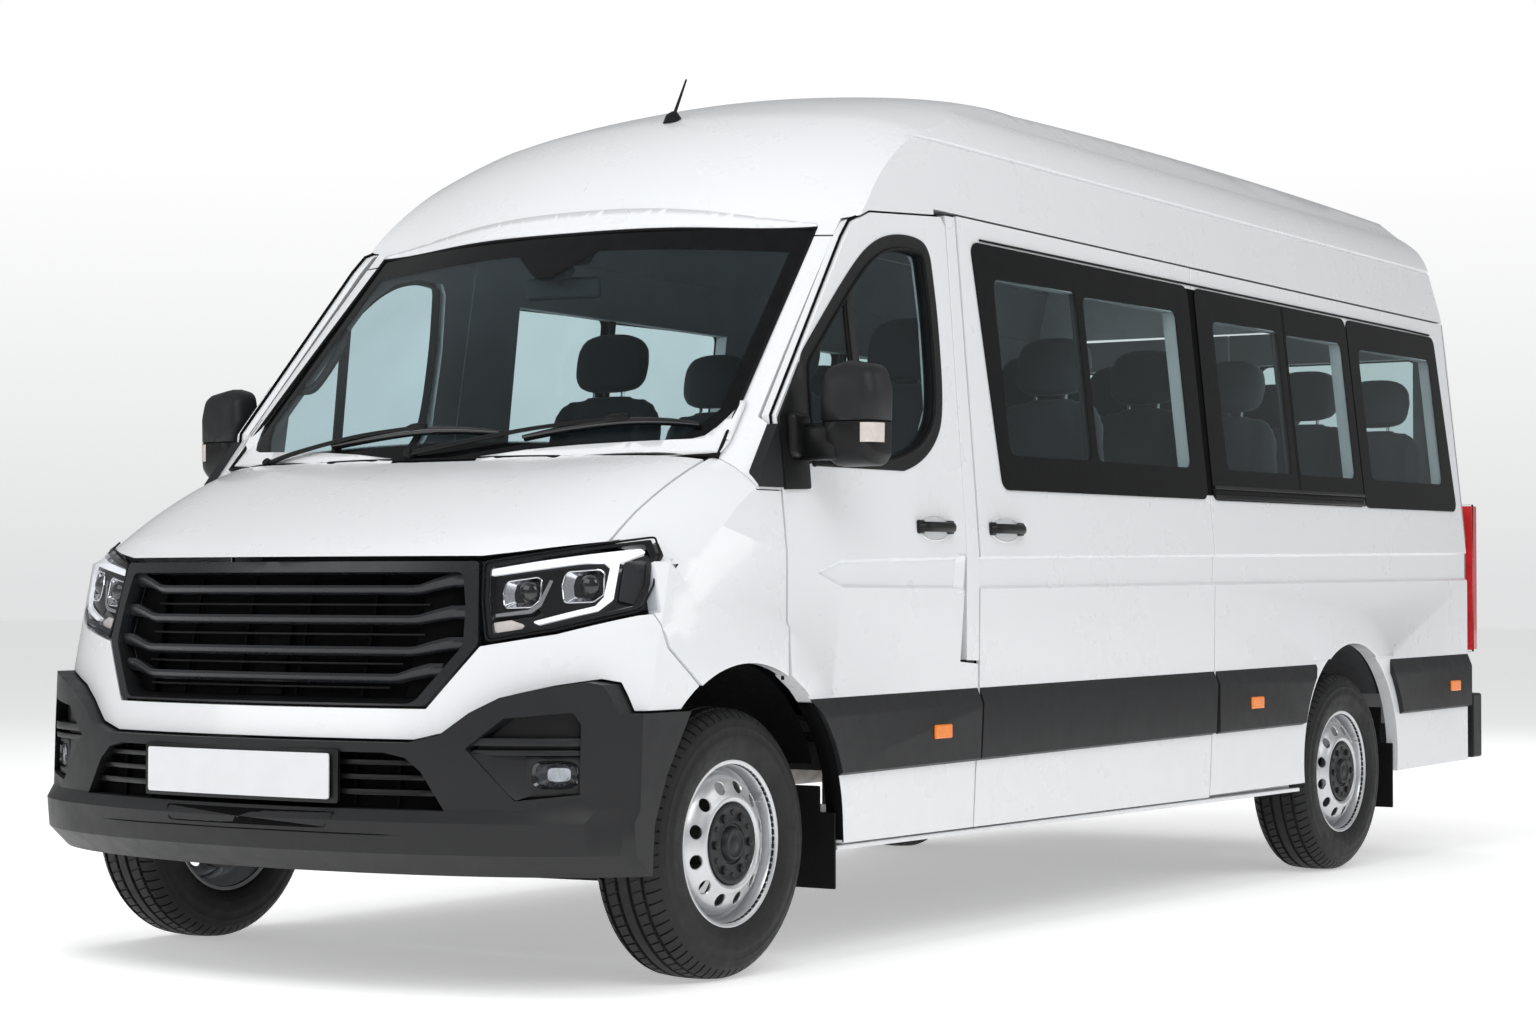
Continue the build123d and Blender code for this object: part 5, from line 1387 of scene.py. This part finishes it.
for s in (1, -1):
    # panel behind the fog lamp, two bars above it, sloping cheek and lamp frame
    inserts.append(patch("fog_back", mirrored([(650, 610), (744, 692), (898, 706), (916, 672), (916, 494),
                                               (770, 476)], s), on_bumper(46), satin_black, "root", step=40,
                         thick=0.004))
    for z0, z1, x0, x1, deep in ((617, 636, 668, 908, 7), (594, 607, 660, 908, 10)):
        inserts.append(patch("fog_bar", mirrored([(x0, z0), (x1, z0), (x1, z1), (x0 + (z1 - z0) * 1.1, z1)], s),
                             on_bumper(deep), trim, "root", step=30, thick=0.030, bevel=(0.004, 3)))
    rows = []
    for t, deep in ((0.0, 3), (0.12, 6), (0.5, 15), (1.0, 27)):
        rows.append([on_bumper(deep)(s * (a[0] + (b[0] - a[0]) * t), a[1] + (b[1] - a[1]) * t) for a, b in
                     (((664, 598), (792, 592)), ((708, 552), (797, 560)), ((744, 516), (803, 528)),
                      ((778, 486), (812, 500)))])
    verts = [q for row in rows for q in row]
    faces = [(i * 4 + k2, i * 4 + k2 + 1, (i + 1) * 4 + k2 + 1, (i + 1) * 4 + k2) for i in range(3) for k2 in range(3)]
    inserts.append(put("cheek", verts, faces, trim, "root", solid=0.004, out=(0, -1, 0)))
    ring = [(s * (850 + 47 * math.copysign(abs(math.cos(a)) ** 0.55, math.cos(a))),
             547 + 33 * math.copysign(abs(math.sin(a)) ** 0.55, math.sin(a))) for a in
            [2 * math.pi * i / 40 for i in range(40)]]
    inserts.append(patch("frame", rounded(mirrored([(790, 494), (910, 500), (910, 590), (786, 592)], s), 10),
                         on_bumper(24), trim, "root", holes=[ring], step=30, thick=0.010, bevel=(0.003, 2)))
    small = [(s * 850 + (x - s * 850) * 0.86, 547 + (z - 547) * 0.84) for x, z in ring]
    deepest = [(s * 850 + (x - s * 850) * 0.5, 547 + (z - 547) * 0.5) for x, z in ring]
    inserts.append(ring_wall("bezel", ring, on_bumper(22), small, on_bumper(29), black_gloss, "root", solid=0.002))
    inserts.append(ring_wall("bowl", small, on_bumper(29), deepest, on_bumper(42), bar_black, "root", solid=0.001))
    inserts.append(patch("bulb", deepest, on_bumper(41), chrome, "root", step=30, thick=0.003))
    patch(f"fog_lens_{'left' if s > 0 else 'right'}", small, on_bumper(26), lamp_glass, "root", step=20, thick=0.002)
inserts_ob = join("bumper_grilles", inserts, "root")
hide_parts("bumper_inserts")
# flat near-black patch under the plate, painted shade of a slot, and the seam of the lower lip
slot_out = rounded([(-236, 450), (326, 450), (300, 410), (-212, 410)], 6)
patch("lower_slot_shade", slot_out, on_bumper(-0.6), black_and_recess_shade, "root", step=40, thick=0.004)
tube("lower_slot_rim", [on_bumper(-0.5)(*q) for q in slot_out], 0.0022, satin_black, "root", 6, closed=True)
for s, word in SIDES:
    line = [(0, 399), (200, 399), (340, 398), (506, 398), (632, 398), (652, 404), (650, 419), (620, 449)]
    tube(f"{word}_lip_seam", [on_bumper(0.2)(s * x, z) for x, z in smooth_profile(line, 6)], 0.0016, black_and_recess_shade,
         "root", 6)

# ------------------------------------------------------------------ tail lamps, rear doors, rear bumper
for s, word in SIDES:
    parts = []
    for z0, z1, mt in ((765, 880, red), (884, 948, plate_white), (952, 1030, clear_amber), (1034, 1298, red)):
        lo = P(min(s * 914, s * 990), 4968, z0)
        hi = P(max(s * 914, s * 990), 5006, z1)
        parts.append(soft_box("cell", lo, hi, mt, "root", 0.006, 3))
    join(f"{word}_tail_cells", parts, "root")
    tube(f"{word}_tail_seal", [P(s * x, v, z) for x, v, z in
                               ((1001, 4936, 752), (1001, 4936, 1315), (908, 4944, 1315), (908, 4944, 752))],
         0.004, rubber, "root", 8, closed=True)
    body = f"{word}_rear_door"
    parts = []
    for z in (760, 1180, 1640, 1880):
        xo = side_x(z) - 62
        if z == 1180:
            continue
        parts.append(soft_box("leaf", P(min(s * (xo - 80), s * xo), 4926, z - 20), P(max(s * (xo - 80), s * xo), 4944,
                                                                                     z + 20), paint, body, 0.005, 3))
        parts.append(tube("pin", [P(s * (xo + 6), 4944, z - 34), P(s * (xo + 6), 4944, z + 34)], 0.010, paint, body, 14,
                          up=(1, 0, 0)))
    join(f"{word}_rear_hinges", parts, body)
parts = [soft_box("grip", P(30, 4940, 1130), P(58, 4962, 1300), satin_black, "left_rear_door", 0.008, 3),
         soft_box("grip_base", P(20, 4928, 1110), P(68, 4944, 1320), satin_black, "left_rear_door", 0.006, 3)]
join("rear_door_handle", parts, "left_rear_door")
parts = [soft_box("holder", P(180, 4927, 812), P(720, 4940, 944), satin_black, "left_rear_door", 0.005, 3),
         soft_box("lamp_bar", P(250, 4930, 950), P(650, 4962, 976), satin_black, "left_rear_door", 0.006, 3)]
join("rear_plate_holder", parts, "left_rear_door")
soft_box("rear_plate", P(190, 4939, 822), P(710, 4944, 934), plate_white, "left_rear_door", 0.0015, 2)
roof_tree = tree_of("roof")
q = cast(roof_tree, P(0, 5400, 2300), (0, -1, 0), P(0, 4905, 2300))
soft_box("high_stop_lamp", q + Vector((-0.14, -0.012, -0.014)), q + Vector((0.14, 0.010, 0.014)), red, "root", 0.005,
         3)
parts = []
for k in range(9):
    parts.append(soft_box("rib", P(-400, 5002 + k * 6.6, 470), P(400, 5005.5 + k * 6.6, 473.5), rubber, "root",
                          0.001, 1))
join("rear_step_ribs", parts, "root")
# the reflectors take the faintly glowing red lens: a painted glow, as a reflector is no lamp
for s, word in SIDES:
    soft_box(f"{word}_rear_reflector", P(min(s * 800, s * 930), 5038, 400), P(max(s * 800, s * 930), 5055, 432), red,
             "root", 0.004, 3)

# ------------------------------------------------------------------ antenna
base = cast(roof_tree, P(0, 1080, 3200), (0, 0, -1), P(0, 1080, 2370))
parts = [tube("foot", [base - Vector((0, 0, 0.01)), base + Vector((0, 0.004, 0.012)), base + Vector((0, 0.010, 0.024))],
              [0.030, 0.024, 0.012], satin_black, "root", 20, up=(1, 0, 0)),
         tube("rod", [base + Vector((0, 0.008, 0.02)), base + Vector((0, 0.070, min(0.136, 2.544 - base.z)))], [0.0055, 0.0030], satin_black,
              "root", 10, up=(1, 0, 0))]
join("antenna", parts, "root")

# ------------------------------------------------------------------ seats
def pad_mesh(size, power, shape=None, cuts=12):
    """rounded box about the origin, reshaped by shape(u, v, w) -> offset in metres"""
    bm = bmesh.new()
    bmesh.ops.create_cube(bm, size=2)
    bmesh.ops.subdivide_edges(bm, edges=bm.edges[:], cuts=cuts, use_grid_fill=True)
    for vert in bm.verts:
        q = vert.co.copy()
        k = sum(abs(c) ** power for c in q) ** (1 / power)
        q /= k
        p = Vector((q.x * size[0] / 2, q.y * size[1] / 2, q.z * size[2] / 2))
        if shape:
            p += Vector(shape(q.x, q.y, q.z))
        vert.co = p
    return bm


def dent(t, at, wide):
    return math.exp(-((abs(t) - at) / wide) ** 2)


def cushion_shape(u, v, w):
    up = max(0.0, w)
    return (0, 0, up * (0.010 * (1 - u * u) * (1 - v * v) + 0.010 * dent(u, 0.83, 0.16) - 0.012 * dent(u, 0.60, 0.05)
                        - 0.008 * (v > 0.6) * (v - 0.6)))


def back_shape(u, v, w):
    lean = 0.044 * (w + 1) + 0.004 * w * w
    thin = -v * 0.013 * (w + 1) / 2
    front = max(0.0, -v)
    y = -front * (0.016 * dent(u, 0.84, 0.16) - 0.012 * dent(u, 0.60, 0.05) + 0.012 * math.exp(-((w + 0.35) / 0.3) ** 2))
    narrow = -u * 0.030 * max(0.0, w - 0.35) ** 1.5 / 0.52
    return (narrow, lean + thin * 2 + y, -0.020 * u * u * max(0.0, w) ** 3)


def rest_shape(u, v, w):
    return (-u * 0.022 * max(0.0, w) ** 2 - u * 0.012 * max(0.0, -w) ** 2, 0.008 * w + 0.010 * u * u, 0)


def stuffed(name, bm, voxel, cap):
    """remeshed and blown up a little by cloth pressure; returns the finished mesh"""
    me = bpy.data.meshes.new(name)
    bm.to_mesh(me)
    bm.free()
    ob = bpy.data.objects.new(name, me)
    bpy.context.scene.collection.objects.link(ob)
    md = ob.modifiers.new("remesh", "REMESH")
    md.mode = "VOXEL"
    md.voxel_size = voxel
    dg = bpy.context.evaluated_depsgraph_get()
    done = bpy.data.meshes.new_from_object(ob.evaluated_get(dg))
    ob.modifiers.clear()
    ob.data = done
    rest = [v.co.copy() for v in done.vertices]
    cl = ob.modifiers.new("cloth", "CLOTH")
    cl.settings.quality = 4
    cl.settings.mass = 0.3
    cl.settings.tension_stiffness = 12
    cl.settings.bending_stiffness = 0.8
    cl.settings.use_pressure = True
    cl.settings.uniform_pressure_force = 4
    cl.settings.effector_weights.gravity = 0
    cl.point_cache.frame_start = 1
    cl.point_cache.frame_end = 20
    for f in range(1, 21):
        bpy.context.scene.frame_set(f)
    dg = bpy.context.evaluated_depsgraph_get()
    after = ob.evaluated_get(dg).to_mesh()
    moved = [v.co.copy() for v in after.vertices]
    ob.evaluated_get(dg).to_mesh_clear()
    ob.modifiers.clear()
    bpy.context.scene.frame_set(1)
    for v, a, b in zip(done.vertices, rest, moved):
        d = b - a
        if d.length > cap:
            d = d.normalized() * cap
        v.co = a + d
    bm = bmesh.new()
    bm.from_mesh(done)
    for _ in range(2):
        bmesh.ops.smooth_vert(bm, verts=bm.verts, factor=0.4, use_axis_x=True, use_axis_y=True, use_axis_z=True)
    bm.to_mesh(done)
    bm.free()
    bpy.data.objects.remove(ob)
    return done


VOX = 0.015
seat_pad = stuffed("seat_pad_master", pad_mesh((0.424, 0.440, 0.108), 9, cushion_shape), VOX, 0.014)
seat_back = stuffed("seat_back_master", pad_mesh((0.424, 0.088, 0.610), 8, back_shape, 14), VOX, 0.012)
head_rest = stuffed("head_rest_master", pad_mesh((0.262, 0.084, 0.186), 4.2, rest_shape, 10), 0.013, 0.008)

SEATS = {
    "front": [(-430, 730, 480, -430), (215, 730, 440, 215), (665, 730, 440, 665)],
    "row_1": [(x, 1640, 445, x) for x in (-665, 220, 655)],
    "row_2": [(x, 2280, 445, x) for x in (-665, 220, 655)],
    "row_3": [(x, 2920, 445, x) for x in (-665, 220, 655)],
    "row_4": [(-665, 3560, 445, -585), (220, 3560, 445, 220), (655, 3560, 445, 575)],
    "row_5": [(x, 4190, 430, x) for x in (-665, -222, 221, 664)],
}


def copy_into(bm, mesh, matrix):
    first = len(bm.verts)
    bm.from_mesh(mesh)
    bm.verts.ensure_lookup_table()
    bmesh.ops.transform(bm, matrix=matrix, verts=bm.verts[first:])


frames = []
for row, seats in SEATS.items():
    bm = bmesh.new()
    seams = []
    for x, v, width, leg in seats:
        k = width / 445
        copy_into(bm, seat_pad, Matrix.Translation(P(x, v + 228, 1004)) @ Matrix.Scale(k, 4, (1, 0, 0)))
        copy_into(bm, seat_back, Matrix.Translation(P(x, v + 512, 1312)) @ Matrix.Scale(k, 4, (1, 0, 0)))
        copy_into(bm, head_rest, Matrix.Translation(P(x, v + 612, 1706)) @ Matrix.Rotation(math.radians(-6), 4, "X"))
        for s in (-1, 1):
            frames.append(tube("post", [P(x + s * 55, v + 598, 1600), P(x + s * 55, v + 606, 1660)], 0.006, chrome,
                               "root", 8))
        w = width * 0.36 if leg == x else 104
        frames.append(soft_box("leg", P(leg - w, v + 75, 642), P(leg + w, v + 395, 945), cabin_grey, "root", 0.02, 2))
        frames.append(soft_box("pan", P(x - width * 0.44, v + 20, 925), P(x + width * 0.44, v + 440, 950), cabin_grey,
                               "root", 0.008, 2))
        for s in (-1, 1):
            c = x + s * (width / 2 - 8)
            frames.append(soft_box("recliner", P(c - 9, v + 430, 940), P(c + 9, v + 545, 1050), cabin_grey, "root",
                                   0.012, 2))
    me = bpy.data.meshes.new(f"{row}_seat_pads")
    bm.to_mesh(me)
    bm.free()
    me.materials.append(seat_cloth)
    me.polygons.foreach_set("use_smooth", [True] * len(me.polygons))
    pads = bpy.data.objects.new(f"{row}_seat_pads", me)
    bpy.context.scene.collection.objects.link(pads)
    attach(pads, "root")
    if row == "front":
        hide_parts("front_seats")
    if row == "row_1":
        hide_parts("passenger_seats")
join("seat_frames", frames, "root")

# ------------------------------------------------------------------ steering wheel, dash, grab handles
wheel_m = Matrix.Translation(P(-430, 665, 1225)) @ Matrix.Rotation(math.radians(-30), 4, "X")
parts = [tube("rim", [wheel_m @ Vector((0.181 * math.cos(a), 0.181 * math.sin(a), 0.013)) for a in
                      [2 * math.pi * i / 56 for i in range(56)]], 0.0145, cabin_grey, "root", 14, closed=True,
              up=wheel_m.to_3x3() @ Vector((0, 0, 1)))]
hub = pad_mesh((0.150, 0.120, 0.046), 5, None, 6)
bmesh.ops.transform(hub, matrix=wheel_m @ Matrix.Translation((0, 0.0, -0.004)), verts=hub.verts)
parts.append(finish_bm("hub", hub, cabin_grey, "root"))
for ang in (0, 180, 270):
    a = math.radians(ang)
    d = Vector((math.cos(a), math.sin(a), 0))
    parts.append(tube("spoke", [wheel_m @ (d * r + Vector((0, 0, -0.004 + 0.016 * (r / 0.18) ** 2)))
                                for r in (0.05, 0.09, 0.13, 0.176)], [0.024, 0.019, 0.015, 0.014], cabin_grey,
                      "root", 10, flat=0.5, up=wheel_m.to_3x3() @ Vector((0, 0, 1))))
parts.append(tube("column", [wheel_m @ Vector((0, 0, -0.01)), wheel_m @ Vector((0, 0, -0.06)),
                             wheel_m @ Vector((0, 0, -0.17))], [0.034, 0.042, 0.046], cabin_grey, "root", 18,
                  up=(1, 0, 0)))
ob = join("steering_wheel_rim", parts, "root")
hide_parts("steering_wheel")
parts = []
hood = pad_mesh((0.40, 0.20, 0.11), 4, None, 8)
bmesh.ops.transform(hood, matrix=Matrix.Translation(P(-430, 430, 1215)), verts=hood.verts)
parts.append(finish_bm("hood", hood, cabin_grey, "root"))
for x, w in ((-745, 0.13), (745, 0.13)):
    bump = pad_mesh((w, 0.13, 0.07), 3.2, None, 6)
    bmesh.ops.transform(bump, matrix=Matrix.Translation(P(x, 360, 1212)), verts=bump.verts)
    parts.append(finish_bm("bump", bump, cabin_grey, "root"))
pad = pad_mesh((1.66, 0.34, 0.05), 6, None, 16)
for v in pad.verts:
    v.co.y += 0.11 * (v.co.x / 0.83) ** 2
bmesh.ops.transform(pad, matrix=Matrix.Translation(P(0, 350, 1205)), verts=pad.verts)
parts.append(finish_bm("top", pad, cabin_grey, "root"))
parts.append(soft_box("screen", P(-115, 556, 1085), P(115, 574, 1205), black_gloss, "root", 0.006, 3,
                      turn=Matrix.Rotation(math.radians(-10), 3, "X")))
for x in (-690, -190, 190, 690):
    parts.append(soft_box("vent", P(x - 50, 562, 1090), P(x + 50, 578, 1150), satin_black, "root", 0.005, 2))
    for z in (1102, 1114, 1126, 1138):
        parts.append(soft_box("fin", P(x - 44, 574, z), P(x + 44, 582, z + 3), cabin_grey, "root", 0.001, 1))
parts.append(tube("selector", [P(-60, 585, 985), P(-60, 610, 1040)], [0.008, 0.006], satin_black, "root", 10,
                  up=(1, 0, 0)))
parts.append(tube("selector_knob", [P(-60, 606, 1032), P(-60, 612, 1046), P(-60, 620, 1064)], [0.014, 0.021, 0.014],
                  satin_black, "root", 12, up=(1, 0, 0)))
join("dash_details", parts, "root")
parts = []
for s in (1, -1):
    path = smooth_profile([tuple(P(s * x, v, z)) for x, v, z in ((838, 345, 1585), (812, 375, 1590), (800, 420, 1640),
                                                               (790, 470, 1710), (796, 505, 1760), (820, 495, 1782))], 5)
    parts.append(tube("grab", [Vector(q) for q in path], 0.013, cabin_grey, "root", 10))
join("grab_handles", parts, "root")

# ------------------------------------------------------------------ small round edges on the CAD pieces
EDGE = {"front_bumper": 0.006, "rear_bumper": 0.008, "dashboard": 0.02, "side_cladding": 0.004,
        "left_door_cladding": 0.004, "right_door_cladding": 0.004, "mud_flaps": 0.003, "bonnet": 0.003,
        "front_wings": 0.003, "nose_panel": 0.003, "left_cab_door": 0.0025, "right_cab_door": 0.0025,
        "sliding_door": 0.0025, "left_side_panel": 0.0025, "right_side_panel": 0.0025, "roof": 0.003,
        "windscreen_frame": 0.0025, "left_rear_door": 0.003, "right_rear_door": 0.003, "rear_frame": 0.003,
        "bumper_inserts": 0.003, "sills": 0.003, "tail_lights": 0.004}
for name, width in EDGE.items():
    ob = NODES[name]
    me = ob.data
    if me.has_custom_normals:
        with bpy.context.temp_override(object=ob, active_object=ob, selected_objects=[ob]):
            bpy.ops.mesh.customdata_custom_splitnormals_clear()
    me.polygons.foreach_set("use_smooth", [True] * len(me.polygons))
    md = ob.modifiers.new("weld", "WELD")
    md.merge_threshold = 0.00002
    md = ob.modifiers.new("edge", "BEVEL")
    md.width = width
    md.segments = 2
    md.limit_method = "ANGLE"
    md.angle_limit = math.radians(32)
    md.harden_normals = True
    md.use_clamp_overlap = True

# ------------------------------------------------------------------ camera, floor, light
cam = bpy.data.objects.new("camera", bpy.data.cameras.new("camera"))
bpy.context.scene.collection.objects.link(cam)
cam.data.sensor_width = 36
cam.data.lens = 74.01
cam.data.clip_end = 200
yaw, pitch = math.radians(34.22), math.radians(1.31)
ahead = Vector((-math.sin(yaw) * math.cos(pitch), math.cos(yaw) * math.cos(pitch), math.sin(pitch)))
right = Vector((math.cos(yaw), math.sin(yaw), 0))
above = right.cross(ahead)
cam.matrix_world = Matrix.Translation((5.589, -6.6256 + FA, 1.0097)) @ Matrix(
    ((right.x, above.x, -ahead.x), (right.y, above.y, -ahead.y), (right.z, above.z, -ahead.z))).to_4x4()
bpy.context.scene.camera = cam
bpy.context.scene.view_settings.view_transform = "Standard"

me = bpy.data.meshes.new("floor")
bm = bmesh.new()
bmesh.ops.create_grid(bm, x_segments=2, y_segments=2, size=60)
bm.to_mesh(me)
bm.free()
floor = bpy.data.objects.new("floor", me)
bpy.context.scene.collection.objects.link(floor)
floor_grey = surface("studio_floor", (0.93, 0.93, 0.93), 0.7, level=0.2, vary=0.01, patch_scale=0.6)
me.materials.append(floor_grey)
for node in floor_grey.node_tree.nodes:
    if node.type == "BSDF_PRINCIPLED":
        node.inputs["Emission Color"].default_value = (1.0, 1.0, 1.0, 1.0)
        node.inputs["Emission Strength"].default_value = 0.42

world = bpy.data.worlds.new("studio")
bpy.context.scene.world = world
world.use_nodes = True
nt = world.node_tree
nt.nodes.clear()
wout = nt.nodes.new("ShaderNodeOutputWorld")
bg = nt.nodes.new("ShaderNodeBackground")
geo = nt.nodes.new("ShaderNodeTexCoord")
sep = nt.nodes.new("ShaderNodeSeparateXYZ")
nt.links.new(geo.outputs["Generated"], sep.inputs[0])
ramp = nt.nodes.new("ShaderNodeValToRGB")
ramp.color_ramp.elements[0].position = 0.0
ramp.color_ramp.elements[0].color = (0.93, 0.935, 0.94, 1)
ramp.color_ramp.elements[1].position = 0.75
ramp.color_ramp.elements[1].color = (0.98, 0.99, 1.0, 1)
nt.links.new(sep.outputs["Z"], ramp.inputs["Fac"])
seen = nt.nodes.new("ShaderNodeLightPath")
haze = nt.nodes.new("ShaderNodeValToRGB")
haze.color_ramp.elements[0].position = 0.0
haze.color_ramp.elements[0].color = (0.74, 0.745, 0.75, 1)
haze.color_ramp.elements[1].position = 0.14
haze.color_ramp.elements[1].color = (1.0, 1.0, 1.0, 1)
nt.links.new(sep.outputs["Z"], haze.inputs["Fac"])
nt.links.new(mix_colour(nt, seen.outputs["Is Camera Ray"], ramp.outputs["Color"], haze.outputs["Color"]),
             bg.inputs["Color"])
level = nt.nodes.new("ShaderNodeMapRange")
level.inputs["To Min"].default_value = 0.33
level.inputs["To Max"].default_value = 1.02
nt.links.new(seen.outputs["Is Camera Ray"], level.inputs["Value"])
nt.links.new(level.outputs["Result"], bg.inputs["Strength"])
nt.links.new(bg.outputs[0], wout.inputs["Surface"])


def area(name, at, to, size, watts, tint=(1, 1, 1)):
    light = bpy.data.lights.new(name, "AREA")
    light.shape = "RECTANGLE"
    light.size, light.size_y = size
    light.energy = watts
    light.color = tint
    ob = bpy.data.objects.new(name, light)
    bpy.context.scene.collection.objects.link(ob)
    ob.location = at
    ob.rotation_euler = (Vector(to) - Vector(at)).to_track_quat("-Z", "Y").to_euler()
    return ob


area("key", (7.5, -7.0, 8.0), (0, -0.5, 1.0), (7, 5), 405)
area("front", (-5.0, -10.0, 5.0), (0, -2.0, 1.0), (6, 4), 125)
area("side", (9.0, 3.5, 5.0), (0, 1.0, 1.2), (6, 4), 110)
area("back", (-4.0, 9.0, 6.0), (0, 1.0, 1.2), (6, 4), 200).visible_glossy = False
area("top", (-0.5, -5.0, 10.0), (0, -1.0, 1.5), (8, 8), 550).visible_glossy = False
